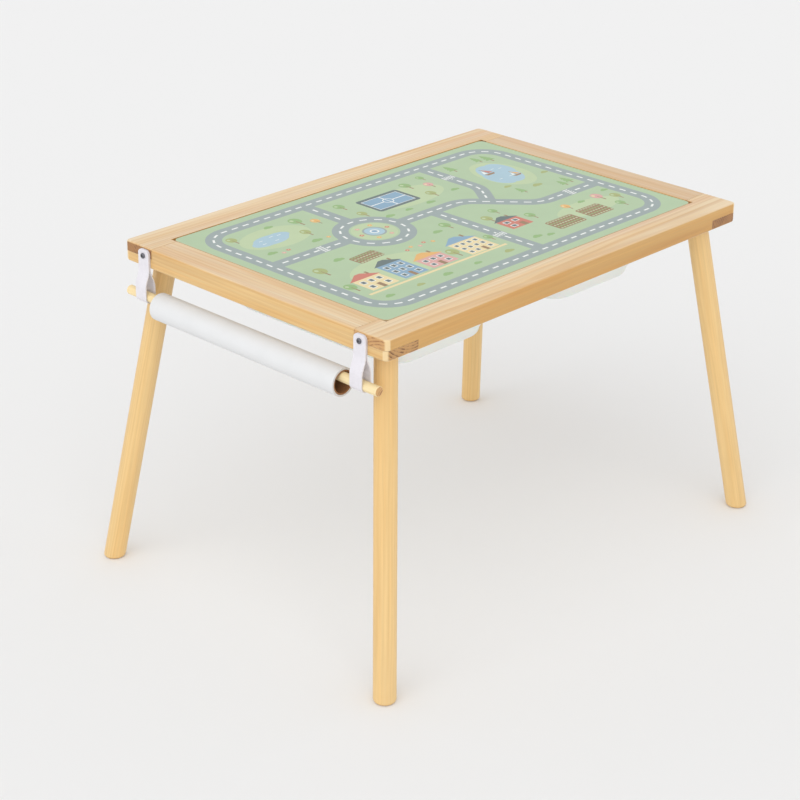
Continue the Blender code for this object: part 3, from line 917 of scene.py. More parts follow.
class ACTIVITY_TABLE_OT_rails(Operator):
    """Builds the four pine rails, rounded outside, rabbeted inside and half-lapped at the corners"""

    bl_idname = "activity_table.rails"
    bl_label = "Rails"

    def execute(self, context):
        wood = settings_of(context).wood
        # Name, side, whether long, and the shift of the grain along the rail and across it
        rails = (
            ("front", -1, True, (0.3, 0.021, 0.034)),
            ("back", 1, True, (2.6, -0.036, 0.026)),
            ("left", -1, False, (4.4, 0.017, -0.040)),
            ("right", 1, False, (6.5, 0.032, 0.029)),
        )
        cuts = {
            "front": (wood.end, wood.end_late),
            "back": (wood.dark_end, wood.dark_late),
            "left": (wood.mid_end, wood.dark_late),
            "right": (wood.dark_end, wood.dark_late),
        }
        for name, side, long, pith in rails:
            if long:
                holes = [screw_hole(side)]
            else:
                holes = [insert_hole(corner) for corner, (at, _) in CORNERS.items() if at == side]
            bm = rail_mesh(side, long, holes)
            soften(bm, wood.arris, steps=2)
            pine = wood_material(
                f"{name} rail pine",
                wood,
                (1, 0, 0) if long else (0, 1, 0),
                middle(f"{name}_rail"),
                pith,
                wood.dull if name == "right" else wood.face,
                wood.late,
                # The side-face colour carries painted shade, the long rails' sides the most
                edge=wood.deep_and_shaded if long else wood.edge,
                cut=cuts[name],
            )
            make_piece(f"rail_{name}", bm, [pine], "table", [f"{name}_rail"])
        return {"FINISHED"}


# Board and its printed picture

INKS = (
    "ground", "meadow", "bush", "olive", "road", "marking", "slate",
    "cream", "red", "pink", "orange", "blue", "water", "brown",
)

# Places on the map, from the board's middle
ROUNDABOUT_X = -0.098
ROUNDABOUT_Y = 0.034
ROUNDABOUT_RADIUS = 0.049
SIDE_ROAD_Y = -0.052


def rectangle(width, height, corner=0.0):
    """Corners of a rectangle about the origin, round where a radius is given."""
    half_x, half_y = width / 2, height / 2
    points = []
    for quarter, (side_x, side_y) in enumerate(((1, 1), (-1, 1), (-1, -1), (1, -1))):
        for step in range(5 if corner else 1):
            angle = math.pi / 2 * (quarter + step / 4)
            x = side_x * (half_x - corner) + corner * math.cos(angle)
            y = side_y * (half_y - corner) + corner * math.sin(angle)
            points.append(Vector((x, y)))
    return points


def oval(width, height, sides=28):
    """Corners of an oval about the origin, anticlockwise."""
    points = []
    for step in range(sides):
        angle = math.tau * step / sides
        points.append(Vector((width / 2 * math.cos(angle), height / 2 * math.sin(angle))))
    return points


def bent_path(points, radius=0.0, closed=False):
    """A path through corner points, with each corner rounded off."""
    points = [Vector(point) for point in points]
    count = len(points)
    path = []
    for index, corner in enumerate(points):
        if not closed and index in (0, count - 1):
            path.append(corner)
            continue
        before = (points[index - 1] - corner).normalized()
        after = (points[(index + 1) % count] - corner).normalized()
        half = before.angle(after) / 2
        centre = corner + (before + after).normalized() * (radius / math.sin(half))
        first = corner + before * (radius / math.tan(half)) - centre
        last = corner + after * (radius / math.tan(half)) - centre
        sweep = math.atan2(first.x * last.y - first.y * last.x, first.dot(last))
        steps = max(3, round(abs(sweep) / math.radians(9)))
        for step in range(steps + 1):
            path.append(centre + Matrix.Rotation(sweep * step / steps, 2) @ first)
    if closed:
        path.append(path[0].copy())
    return path


def path_length(path):
    return sum((second - first).length for first, second in zip(path, path[1:]))


def part_of_path(path, start, stop):
    """The stretch of a path between two distances along it."""
    found = []
    done = 0.0
    for first, second in zip(path, path[1:]):
        length = (second - first).length
        for distance in (start, stop):
            if done <= distance <= done + length and length > 0:
                found.append(first.lerp(second, (distance - done) / length))
        if start < done + length < stop:
            found.append(second)
        done += length
    return found


class Picture:
    """Inked outlines on the board's face. A later one covers what it overlaps."""

    def __init__(self):
        self.shapes = []

    def ink(self, ink, points, x=0.0, y=0.0, turn=0.0):
        """Inks an outline, given anticlockwise."""
        rotation = Matrix.Rotation(turn, 2)
        shift = Vector((x, y))
        self.shapes.append((ink, [shift + rotation @ Vector(point) for point in points]))

    def band(self, ink, path, width):
        """An even band along a path, as one short piece for each of its steps."""
        rows = []
        for index, point in enumerate(path):
            before = path[max(index - 1, 0)]
            after = path[min(index + 1, len(path) - 1)]
            if path[0] == path[-1] and index in (0, len(path) - 1):
                before, after = path[-2], path[1]
            across = (after - before).normalized().orthogonal() * (width / 2)
            rows.append((point + across, point - across))
        for (left, right), (next_left, next_right) in zip(rows, rows[1:]):
            self.shapes.append((ink, [left, right, next_right, next_left]))

    def ring(self, ink, x, y, radius, width):
        """An even band round a circle."""
        circle = [Vector((x, y)) + point for point in oval(2 * radius, 2 * radius, 48)]
        self.band(ink, circle + circle[:1], width)

    def cut_up(self, outline):
        """The outline's face cut along every shape: points, faces and the ink of each face."""
        shapes = [("ground", outline)] + self.shapes
        points = []
        loops = []
        for _, shape in shapes:
            loops.append(list(range(len(points), len(points) + len(shape))))
            points.extend(shape)
        inside_only = 1
        same_point = 0.0000001
        found, _, faces, _, _, sources = delaunay_2d_cdt(
            points, [], loops, inside_only, same_point, True
        )
        kept = [index for index, source in enumerate(sources) if 0 in source]
        inks = [INKS.index(shapes[max(sources[index])][0]) for index in kept]
        return found, [faces[index] for index in kept], inks


def draw_roads(picture, sizes):
    """A ring road, a roundabout and the roads that join them."""
    width = sizes.road_width
    ring_x = BOARD_HIGH.x - sizes.road_inset
    ring_y = BOARD_HIGH.y - sizes.road_inset
    corners = [(-ring_x, -ring_y), (ring_x, -ring_y), (ring_x, ring_y), (-ring_x, ring_y)]
    ring = bent_path(corners, sizes.road_bend, closed=True)
    turning = Vector((ROUNDABOUT_X, ROUNDABOUT_Y))
    radius = ROUNDABOUT_RADIUS
    level = turning.y
    roads = [
        bent_path([(-ring_x, level), (turning.x - radius, level)]),
        bent_path([(turning.x, level + radius), (turning.x, ring_y)]),
        bent_path(
            [
                (turning.x + radius, level),
                (0.085, level),
                (0.165, SIDE_ROAD_Y),
                (ring_x, SIDE_ROAD_Y),
            ],
            0.045,
        ),
        bent_path([(0.150, ring_y), (0.150, 0.055), (0.112, 0.002)], 0.05),
        bent_path([(0.020, level), (0.020, -ring_y)]),
    ]
    picture.band("road", ring, width)
    for road in roads:
        picture.band("road", road, width)
    picture.ring("road", turning.x, turning.y, radius, width)
    step = sizes.dash_length + sizes.dash_gap
    for path, spare in [(ring, 0.0)] + [(road, width * 0.62) for road in roads]:
        length = path_length(path) - 2 * spare
        count = max(1, round(length / step))
        for index in range(count):
            start = spare + (index + 0.5) * length / count - sizes.dash_length / 2
            dash = part_of_path(path, start, start + sizes.dash_length)
            picture.band("marking", dash, sizes.dash_width)
    dashes = 14
    for index in range(dashes):
        angle = math.tau * (index + 0.5) / dashes
        place = turning + Vector((math.cos(angle), math.sin(angle))) * radius
        dash = rectangle(sizes.dash_width, sizes.dash_length)
        picture.ink("marking", dash, place.x, place.y, angle)
    for x, y, degrees in (
        (-0.200, ROUNDABOUT_Y, 0),
        (0.020, -0.100, 90),
        (0.232, SIDE_ROAD_Y, 0),
        (0.150, 0.120, 90),
    ):
        draw_crossing(picture, x, y, math.radians(degrees), width)


def draw_crossing(picture, x, y, turn, width):
    """White bars across a road."""
    picture.ink("road", rectangle(0.014, width * 0.9), x, y, turn)
    for index in range(5):
        shift = Matrix.Rotation(turn, 2) @ Vector((0, (index - 2) * width * 0.19))
        bar = rectangle(0.011, width * 0.09)
        picture.ink("marking", bar, x + shift.x, y + shift.y, turn)


def draw_tree(picture, x, y, size, crown):
    """A round crown with a light spot, on a trunk."""
    picture.ink("brown", rectangle(size * 0.14, size * 0.8), x, y - size * 0.45)
    picture.ink(crown, oval(size, size * 1.15), x, y + size * 0.2)
    light = "meadow" if crown in ("bush", "olive") else "cream"
    picture.ink(light, oval(size * 0.3, size * 0.36, 16), x - size * 0.18, y + size * 0.38)
    picture.ink("brown", rectangle(size * 0.07, size * 0.6), x, y - size * 0.2)


def draw_fir(picture, x, y, size):
    """Three tiers on a short trunk."""
    picture.ink("brown", rectangle(size * 0.14, size * 0.4), x, y - size * 0.6)
    for index in range(3):
        half = size * (0.52 - index * 0.11)
        base = y - size * 0.45 + index * size * 0.34
        picture.ink("bush", [(x - half, base), (x + half, base), (x, base + size * 0.62)])


def draw_bush(picture, x, y, size, ink="bush"):
    """Three overlapping ovals."""
    for shift, share in ((-0.42, 0.62), (0.0, 1.0), (0.45, 0.7)):
        crown = oval(size * share, size * share * 0.85, 20)
        picture.ink(ink, crown, x + shift * size, y + (share - 1) * size * 0.3)


def draw_flower(picture, x, y, size, petals):
    """Five petals round a cream middle."""
    for index in range(5):
        angle = math.tau * index / 5 + 0.3
        px = x + math.cos(angle) * size * 0.3
        py = y + math.sin(angle) * size * 0.3
        picture.ink(petals, oval(size * 0.44, size * 0.44, 12), px, py)
    picture.ink("cream", oval(size * 0.32, size * 0.32, 12), x, y)


def draw_house(picture, x, y, width, height, wall, roof, columns, rows):
    """A front with a pitched roof, rows of windows and a door. x, y is the foot's middle."""
    picture.ink(wall, rectangle(width, height), x, y + height / 2)
    eaves = width * 0.58
    top = y + height
    peak = top + width * 0.34
    ridge = width * 0.1
    slope = [(x - eaves, top), (x + eaves, top), (x + ridge, peak), (x - ridge, peak)]
    picture.ink(roof, slope)
    picture.ink("brown", rectangle(width * 0.08, width * 0.16), x + width * 0.3, top + width * 0.27)
    pitch_x = width / (columns + 0.4)
    pitch_y = height / (rows + 0.3)
    for row in range(rows):
        for column in range(columns):
            wx = x + (column - (columns - 1) / 2) * pitch_x
            wy = y + height - (row + 0.65) * pitch_y
            if row == rows - 1 and column == columns // 2:
                picture.ink("brown", rectangle(pitch_x * 0.5, pitch_y * 0.95), wx, y + pitch_y * 0.475)
            else:
                picture.ink("marking", rectangle(pitch_x * 0.6, pitch_y * 0.6), wx, wy)
                picture.ink("slate", rectangle(pitch_x * 0.44, pitch_y * 0.44), wx, wy)


def draw_boat(picture, x, y, size, sail):
    """A hull, a mast and two sails."""
    for ink, outline in (
        ("brown", ((0.5, 0), (-0.5, 0), (-0.32, -0.26), (0.32, -0.26))),
        ("slate", ((0.025, 1), (-0.025, 1), (-0.025, 0), (0.025, 0))),
        (sail, ((0.06, 0.1), (0.5, 0.12), (0.06, 0.95))),
        ("marking", ((-0.06, 0.1), (-0.06, 0.75), (-0.4, 0.12))),
    ):
        picture.ink(ink, [(px * size, py * size) for px, py in outline], x, y)


def draw_court(picture, x, y, width, height):
    """A ball court with white lines."""
    picture.ink("slate", rectangle(width, height, 0.005), x, y)
    inner_x, inner_y = width * 0.86, height * 0.76
    picture.ink("marking", rectangle(inner_x, inner_y), x, y)
    line = 0.0014
    for side in (-1, 1):
        for half in (-1, 1):
            cell = rectangle(inner_x / 2 - 1.5 * line, inner_y / 2 - 1.5 * line)
            picture.ink("blue", cell, x + side * inner_x / 4, y + half * inner_y / 4)
    picture.ink("marking", oval(height * 0.32, height * 0.32), x, y)
    picture.ink("blue", oval(height * 0.32 - 2 * line, height * 0.32 - 2 * line), x, y)
    picture.ink("marking", rectangle(line, inner_y), x, y)


def draw_field(picture, x, y, width, height, rows, turn=0.0):
    """Ploughed earth with rows of leaves."""
    picture.ink("brown", rectangle(width, height, 0.004), x, y, turn)
    rotation = Matrix.Rotation(turn, 2)
    margin, gap = 0.005, 0.006
    for row in range(rows):
        for column in range(int(width / gap)):
            along = -width / 2 + margin + column * gap
            shift = rotation @ Vector((along, ((row + 0.5) / rows - 0.5) * height))
            ink = "bush" if row % 2 else "meadow"
            picture.ink(ink, oval(0.0044, 0.0034, 10), x + shift.x, y + shift.y, turn)


def draw_pond(picture, x, y, width, height):
    """Three overlapping ovals of water with a pale bank and a few ripples."""
    bank = 0.004
    for ink, spare in (("meadow", bank), ("water", 0.0)):
        for dx, dy, share in ((0, 0, 1.0), (0.28, 0.16, 0.66), (-0.26, -0.14, 0.7)):
            lobe = oval(width * share + spare, height * share + spare, 40)
            picture.ink(ink, lobe, x + dx * width, y + dy * height)
    for dx, dy in ((-0.25, 0.14), (0.08, -0.2), (0.33, 0.2), (-0.3, -0.2), (0.12, 0.26)):
        picture.ink("marking", rectangle(width * 0.11, 0.0012), x + dx * width, y + dy * height)


def scatter(picture, draw, *places):
    """Draws a motif at each place: x, y, its size and what else it takes."""
    for place in places:
        draw(picture, *place)


def draw_garden(picture):
    """The roundabout's garden: a fountain in a ring of flowers."""
    for ink, across, sides in (
        ("meadow", 0.068, 40),
        ("road", 0.036, 32),
        ("water", 0.030, 32),
        ("marking", 0.014, 24),
        ("blue", 0.009, 20),
    ):
        picture.ink(ink, oval(across, across, sides), ROUNDABOUT_X, ROUNDABOUT_Y)
    bed = 0.0255
    for index, petals in enumerate(("red", "orange", "pink") * 2):
        angle = math.tau * index / 6
        x = ROUNDABOUT_X + bed * math.cos(angle)
        y = ROUNDABOUT_Y + bed * math.sin(angle)
        draw_flower(picture, x, y, 0.0075, petals)


def draw_wood(picture):
    """A pond among trees."""
    draw_pond(picture, -0.226, 0.112, 0.062, 0.034)
    scatter(
        picture,
        draw_tree,
        (-0.268, 0.146, 0.016, "olive"),
        (-0.150, 0.140, 0.020, "bush"),
        (-0.170, 0.098, 0.016, "olive"),
        (-0.128, 0.122, 0.014, "orange"),
    )
    scatter(
        picture, draw_bush, (-0.262, 0.072, 0.012), (-0.182, 0.066, 0.013), (-0.196, 0.152, 0.011)
    )
    scatter(
        picture,
        draw_flower,
        (-0.248, 0.062, 0.007, "pink"),
        (-0.236, 0.066, 0.007, "red"),
        (-0.160, 0.064, 0.007, "orange"),
    )


def draw_street(picture):
    """A row of houses with a footpath, and a field behind them."""
    scatter(
        picture,
        draw_house,
        (-0.236, -0.125, 0.050, 0.040, "cream", "red", 3, 2),
        (-0.176, -0.125, 0.046, 0.056, "blue", "slate", 3, 3),
        (-0.118, -0.125, 0.050, 0.036, "pink", "orange", 3, 2),
        (-0.040, -0.128, 0.056, 0.048, "cream", "blue", 4, 3),
    )
    picture.band("cream", bent_path([(-0.275, -0.132), (-0.002, -0.132)]), 0.005)
    scatter(
        picture,
        draw_tree,
        (-0.274, -0.098, 0.018, "bush"),
        (-0.080, -0.104, 0.019, "olive"),
        (0.000, -0.098, 0.014, "bush"),
        (-0.262, -0.028, 0.020, "olive"),
        (-0.008, -0.022, 0.017, "bush"),
    )
    scatter(
        picture,
        draw_bush,
        (-0.258, -0.152, 0.011),
        (-0.200, -0.153, 0.010, "olive"),
        (-0.146, -0.152, 0.012),
        (-0.086, -0.153, 0.010),
        (-0.020, -0.152, 0.012, "olive"),
        (-0.214, -0.010, 0.013),
        (-0.036, -0.030, 0.012),
    )
    draw_field(picture, -0.178, -0.030, 0.050, 0.026, 4, math.radians(4))
    for index in range(5):
        petals = ("red", "orange", "pink")[index % 3]
        draw_flower(picture, -0.120 + index * 0.013, -0.052 + (index % 2) * 0.006, 0.007, petals)


def draw_park(picture):
    """A ball court among trees."""
    draw_court(picture, 0.010, 0.112, 0.086, 0.056)
    scatter(
        picture,
        draw_tree,
        (-0.062, 0.140, 0.017, "bush"),
        (-0.058, 0.096, 0.015, "olive"),
        (0.076, 0.138, 0.018, "bush"),
        (0.106, 0.118, 0.015, "pink"),
        (0.080, 0.088, 0.016, "olive"),
        (0.118, 0.148, 0.013, "bush"),
    )
    scatter(
        picture,
        draw_bush,
        (-0.036, 0.064, 0.012),
        (0.004, 0.064, 0.010),
        (0.050, 0.064, 0.012),
        (0.118, 0.078, 0.011),
    )


def draw_lake(picture):
    """A lake with two sailing boats, and fir trees round it."""
    draw_pond(picture, 0.222, 0.078, 0.058, 0.088)
    scatter(picture, draw_boat, (0.210, 0.090, 0.022, "red"), (0.238, 0.058, 0.018, "orange"))
    scatter(
        picture,
        draw_fir,
        (0.262, 0.142, 0.020),
        (0.244, 0.148, 0.017),
        (0.182, 0.146, 0.019),
        (0.272, -0.012, 0.018),
        (0.256, -0.018, 0.015),
        (0.186, 0.004, 0.016),
    )
    scatter(
        picture,
        draw_bush,
        (0.184, 0.030, 0.010, "olive"),
        (0.222, 0.004, 0.013, "olive"),
        (0.276, 0.036, 0.010, "olive"),
    )


def draw_farm(picture):
    """A farmhouse with two fields."""
    draw_house(picture, 0.072, -0.100, 0.044, 0.034, "red", "slate", 2, 2)
    draw_field(picture, 0.128, -0.132, 0.058, 0.034, 5)
    draw_field(picture, 0.196, -0.130, 0.050, 0.036, 5)
    scatter(
        picture,
        draw_tree,
        (0.112, -0.080, 0.016, "bush"),
        (0.056, -0.046, 0.017, "olive"),
        (0.086, -0.030, 0.014, "bush"),
        (0.246, -0.096, 0.018, "pink"),
        (0.270, -0.112, 0.016, "olive"),
        (0.250, -0.138, 0.015, "bush"),
        (0.178, -0.092, 0.014, "orange"),
    )
    scatter(
        picture,
        draw_bush,
        (0.052, -0.142, 0.012),
        (0.072, -0.150, 0.010),
        (0.210, -0.092, 0.010),
        (0.276, -0.082, 0.010),
    )


def draw_picture(sizes):
    """The whole map, upright towards the back of the table."""
    picture = Picture()
    for x, y, width, height in (
        (-0.215, 0.115, 0.12, 0.075),
        (-0.18, -0.085, 0.15, 0.085),
        (0.04, 0.105, 0.15, 0.07),
        (0.20, -0.115, 0.13, 0.05),
        (0.225, 0.075, 0.08, 0.12),
    ):
        picture.ink("meadow", oval(width, height, 40), x, y)
    draw_roads(picture, sizes)
    for draw in (draw_garden, draw_wood, draw_street, draw_park, draw_lake, draw_farm):
        draw(picture)
    return picture


class ACTIVITY_TABLE_OT_board(Operator):
    """Builds the lift-out board, its face cut up into the inks of the road picture"""

    bl_idname = "activity_table.board"
    bl_label = "Board"

    def execute(self, context):
        settings = settings_of(context)
        sizes = settings.picture
        materials = [ink_material(f"{ink} ink", getattr(sizes, ink)) for ink in INKS]
        materials.append(pressed_board_material("board edge", settings.finish.board_core))
        materials.append(pressed_board_material("board back", settings.finish.board_back))
        core, back = len(INKS), len(INKS) + 1

        bm = plate(
            BOARD_LOW, BOARD_HIGH, BOARD_CORNER_RADIUS, BOARD_EDGE_RADIUS, CORNER_STEPS, edge_steps=3
        )
        for face in bm.faces:
            face.material_index = back if face.normal.z < -0.9 else core
        top = max(bm.faces, key=lambda face: face.normal.z * face.calc_area())
        outline = [vert.co.xy for vert in top.verts]
        bmesh.ops.delete(bm, geom=[top], context="FACES_ONLY")
        points, faces, inks = draw_picture(sizes).cut_up(outline)
        verts = [bm.verts.new((*point, BOARD_HIGH.z)) for point in points]
        for corners, ink in zip(faces, inks):
            face = bm.faces.new([verts[index] for index in corners])
            face.material_index = ink
        loose = [vert for vert in verts if not vert.link_faces]
        bmesh.ops.delete(bm, geom=loose, context="VERTS")
        bmesh.ops.remove_doubles(bm, verts=bm.verts, dist=SAME_PLACE)
        make_piece("board_panel", bm, materials, "board", ["play_board"], sharp=25)
        return {"FINISHED"}


# Bins


def bin_mesh(side):
    """The outer skin of a bin: a flat rim, tapered walls and a base that stands on its rim."""
    middle_x = side * (BIN_LOW.x + BIN_HIGH.x) / 2
    rim_level = BIN_HIGH.z - BIN_WALL
    bm = bmesh.new()
    bmesh.ops.create_grid(bm, x_segments=1, y_segments=1, size=0.5)
    bmesh.ops.scale(bm, vec=BIN_HIGH - BIN_LOW, verts=bm.verts)
    round_over(bm, bm.verts[:], BIN_CORNER_RADIUS + BIN_RIM_WIDTH, steps=14, affect="VERTICES")
    bmesh.ops.reverse_faces(bm, faces=bm.faces)
    bm.faces.ensure_lookup_table()
    base = bm.faces[0]
    inset(bm, base, BIN_RIM_WIDTH, 0.0)
    base = bmesh.ops.extrude_discrete_faces(bm, faces=[base])["faces"][0]
    drop = rim_level - BIN_LOW.z - BIN_BASE_RADIUS
    for vert in base.verts:
        vert.co.x -= math.copysign(BIN_TAPER, vert.co.x)
        vert.co.y -= math.copysign(BIN_TAPER, vert.co.y)
        vert.co.z -= drop
    done = 0.0
    low = 0.0
    steps = 7
    for step in range(1, steps + 1):
        angle = math.pi / 2 * step / steps
        inward = BIN_BASE_RADIUS * (1 - math.cos(angle))
        down = BIN_BASE_RADIUS * math.sin(angle)
        inset(bm, base, inward - done, down - low)
        done, low = inward, down
    inset(bm, base, BIN_FOOT_WIDTH, 0.0)
    inset(bm, base, BIN_FOOT_SLOPE, -BIN_FOOT_HEIGHT)
    bmesh.ops.translate(bm, vec=(middle_x, 0, rim_level), verts=bm.verts)
    return bm


def inset(bm, face, inward, outward):
    """Draws a face in evenly by one distance and moves it along its normal by another."""
    bmesh.ops.inset_region(
        bm,
        faces=[face],
        thickness=inward,
        depth=outward,
        use_even_offset=True,
        use_boundary=True,
    )


class ACTIVITY_TABLE_OT_bins(Operator):
    """Builds the two white bins that hang in the frame"""

    bl_idname = "activity_table.bins"
    bl_label = "Bins"

    def execute(self, context):
        plastic = plastic_material("bin plastic", settings_of(context).finish.plastic)
        wall = {"thickness": BIN_WALL, "offset": -1.0, "use_even_offset": True}
        wall["use_quality_normals"] = True
        rim = rounding(BIN_EDGE_RADIUS, 3, 0.8)
        for name, side in (("left", -1), ("right", 1)):
            make_piece(
                f"bin_{name}_tub",
                bin_mesh(side),
                [plastic],
                f"bin_{name}_body",
                [f"bin_{name}"],
                sharp=50,
                modifiers=(("SOLIDIFY", wall), ("BEVEL", rim)),
            )
        return {"FINISHED"}


# Straps, rod and paper roll


def strap_leaf():
    """One leaf from its end down to the rod: (share of the spread, height, half width)."""
    top = cad_box("strap_front")[1].z
    half_width = STRAP_WIDTH / 2
    leaf = []
    steps = 10
    for step in range(steps + 1):
        angle = math.pi / 2 * step / steps
        drop = STRAP_END_RADIUS * (1 - math.cos(angle))
        narrowing = STRAP_END_RADIUS * (1 - math.sin(angle))
        leaf.append((0.0, top - drop, half_width - narrowing))
    leaf.append((0.0, FRAME_LOW.z, half_width))
    spread_top = FRAME_LOW.z - STRAP_STRAIGHT_BELOW_FRAME
    spread_end = DOWEL_CENTRE.z + STRAP_STRAIGHT_ABOVE_ROD
    steps = 16
    for step in range(steps + 1):
        share = step / steps
        height = spread_top + (spread_end - spread_top) * share
        leaf.append(((1 - math.cos(math.pi * share)) / 2, height, half_width))
    leaf.append((1.0, DOWEL_CENTRE.z, half_width))
    return leaf


def strap_rows():
    """Points (x, z, half width) down the outer leaf, under the rod and up the inner leaf."""
    loop = DOWEL_RADIUS + SEAT_GAP + STRAP_THICKNESS / 2
    leaf = strap_leaf()
    rows = []
    for share, z, half_width in leaf:
        x = OUTER_LEAF_X + (DOWEL_CENTRE.x - loop - OUTER_LEAF_X) * share
        rows.append((x, z, half_width))
    steps = 20
    for step in range(1, steps):
        angle = math.pi * (1 + step / steps)
        x = DOWEL_CENTRE.x + loop * math.cos(angle)
        z = DOWEL_CENTRE.z + loop * math.sin(angle)
        rows.append((x, z, STRAP_WIDTH / 2))
    for share, z, half_width in reversed(leaf):
        x = INNER_LEAF_X + (DOWEL_CENTRE.x + loop - INNER_LEAF_X) * share
        rows.append((x, z, half_width))
    return rows


def strap_mesh(side):
    """A folded leather strip with rounded ends and a screw hole."""
    centre_y = screw_line(side).y
    bm = bmesh.new()
    rows = strap_rows()
    x, z, half_width = rows[0]
    ends = [bm.verts.new((x, centre_y + end * half_width, z)) for end in (-1, 1)]
    edge = bm.edges.new(ends)
    for x, z, half_width in rows[1:]:
        made = bmesh.ops.extrude_edge_only(bm, edges=[edge])["geom"]
        ends = verts_in(made)
        edge = next(item for item in edges_in(made) if all(vert in ends for vert in item.verts))
        ends.sort(key=lambda vert: vert.co.y)
        for end, vert in zip((-1, 1), ends):
            vert.co = (x, centre_y + end * half_width, z)
    bmesh.ops.recalc_face_normals(bm, faces=bm.faces)
    thicken = {"thickness": STRAP_THICKNESS, "offset": 0.0, "use_even_offset": True}
    before = [("SOLIDIFY", thicken), ("BEVEL", rounding(STRAP_EDGE_RADIUS, 2, 0.9))]
    return carve(bm, [("DIFFERENCE", screw_hole(side))], before)


def strap_screw_mesh(side):
    """A pan-head screw with a cross recess."""
    head = SCREW_HEAD_DIAMETER / 2
    shank = SCREW_SHANK_DIAMETER / 2
    tall = SCREW_HEAD_HEIGHT
    rim = 0.00015
    long_arm, short_arm = 0.0021, 0.00045
    recess = 0.0013
    past_head = 0.001
    seat = screw_line(side)
    length = cad_box("strap_screw_front")[1].x - seat.x
    profile = [(0.0, tall), (head * 0.4, tall * 0.99)]
    profile += round_corner(head * 0.55, head, tall * 0.35, tall * 0.95, 6)[::-1]
    profile += [(head, rim), (head - rim, 0.0), (shank, 0.0)]
    profile += [(shank, -length + SCREW_SHANK_DIAMETER), (0.0, -length)]
    bm = turned(profile, seat, (-1, 0, 0), 40)
    face_x = seat.x - tall
    tools = []
    for half_y, half_z in ((long_arm, short_arm), (short_arm, long_arm)):
        low = (face_x - past_head, seat.y - half_y, seat.z - half_z)
        high = (face_x + recess, seat.y + half_y, seat.z + half_z)
        tools.append(("DIFFERENCE", block(low, high)))
    return carve(bm, tools)


class ACTIVITY_TABLE_OT_straps(Operator):
    """Builds the two folded leather straps and their screws"""

    bl_idname = "activity_table.straps"
    bl_label = "Straps"

    def execute(self, context):
        finish = settings_of(context).finish
        leather = leather_material("strap leather", finish.strap, finish.strap_edge)
        steel = metal_material("screw steel", finish.screw, 0.34)
        for name, side in STRAP_SIDES.items():
            bm = strap_mesh(side)
            make_piece(
                f"strap_{name}_leather", bm, [leather], "table", [f"strap_{name}"]
            )
            make_piece(
                f"strap_{name}_screw",
                strap_screw_mesh(side),
                [steel],
                "table",
                [f"strap_screw_{name}"],
                sharp=45,
            )
        return {"FINISHED"}


class ACTIVITY_TABLE_OT_rod(Operator):
    """Builds the wooden rod with its softened ends"""

    bl_idname = "activity_table.rod"
    bl_label = "Rod"

    def execute(self, context):
        settings = settings_of(context)
        wood = settings.wood
        half = (DOWEL_HIGH.y - DOWEL_LOW.y) / 2
        start = half - ROD_END_RADIUS
        end = round_corner(DOWEL_RADIUS - ROD_END_RADIUS, DOWEL_RADIUS, start, half, 4)
        profile = [(0.0, -half)] + [(radius, -along) for radius, along in end[::-1]]
        profile += end + [(0.0, half)]
        grain = wood_material(
            "rod wood",
            wood,
            (0, 1, 0),
            DOWEL_CENTRE,
            (8.0, 0.013, 0.009),
            wood.rod,
            wood.leg_late,
            rings=0.3,
            blush=0.05,
            honey=0.3,
        )
        bm = turned(profile, DOWEL_CENTRE, (0, 1, 0), settings.round_steps)
        make_piece("rod_turned", bm, [grain], "dowel", ["roller_dowel"])
        return {"FINISHED"}


def core_mesh(steps):
    """The cardboard tube, its edges slightly crushed."""
    outer = (CORE_HIGH.z - CORE_LOW.z) / 2
    inner = outer - CORE_WALL
    half = (CORE_HIGH.y - CORE_LOW.y) / 2
    crush = CORE_CRUSH
    profile = [
        (outer, half - crush),
        (outer - crush, half),
        (inner + crush, half),
        (inner, half - crush),
    ]
    profile += [(radius, -along) for radius, along in profile[::-1]]
    return turned(profile, ROLL_CENTRE, (0, 1, 0), steps)


def paper_mesh(steps):
    """The rolled paper: its outside winds in by one sheet, which leaves a free edge underneath."""
    free_edge = math.radians(75)
    outer = (PAPER_HIGH.z - PAPER_LOW.z) / 2
    inner = (CORE_HIGH.z - CORE_LOW.z) / 2 + SEAT_GAP
    half = (PAPER_HIGH.y - PAPER_LOW.y) / 2
    bm = bmesh.new()
    start = Matrix.Rotation(free_edge, 3, "Y")
    near = bm.verts.new(start @ Vector((inner, -half, 0)))
    far = bm.verts.new(start @ Vector((outer, -half, 0)))
    edge = bm.edges.new((near, far))
    made = bmesh.ops.spin(
        bm,
        geom=[near, far, edge],
        cent=(0, 0, 0),
        axis=(0, 1, 0),
        angle=math.tau,
        steps=steps,
    )
    last = edges_in(made["geom_last"])[0]
    rim = [vert for vert in bm.verts if vert.co.xz.length > (inner + outer) / 2]
    bm.verts.index_update()
    rim.sort(key=lambda vert: vert.index)
    last_rim = max(last.verts, key=lambda vert: vert.co.xz.length)
    rim.remove(last_rim)
    for index, vert in enumerate(rim):
        share = 1 - (PAPER_SHEET / outer) * (1 - index / steps)
        vert.co.x *= share
        vert.co.z *= share
    inner_end = min(last.verts, key=lambda vert: vert.co.xz.length)
    fraction = (outer - PAPER_SHEET - inner) / (outer - inner)
    bmesh.utils.edge_split(last, inner_end, fraction)
    bmesh.ops.remove_doubles(bm, verts=bm.verts, dist=CUT_WELD)
    far_end = bmesh.ops.extrude_face_region(bm, geom=bm.faces[:])["geom"]
    bmesh.ops.translate(bm, vec=(0, 2 * half, 0), verts=verts_in(far_end))
    bmesh.ops.recalc_face_normals(bm, faces=bm.faces)
    bmesh.ops.translate(bm, vec=ROLL_CENTRE, verts=bm.verts)
    return bm


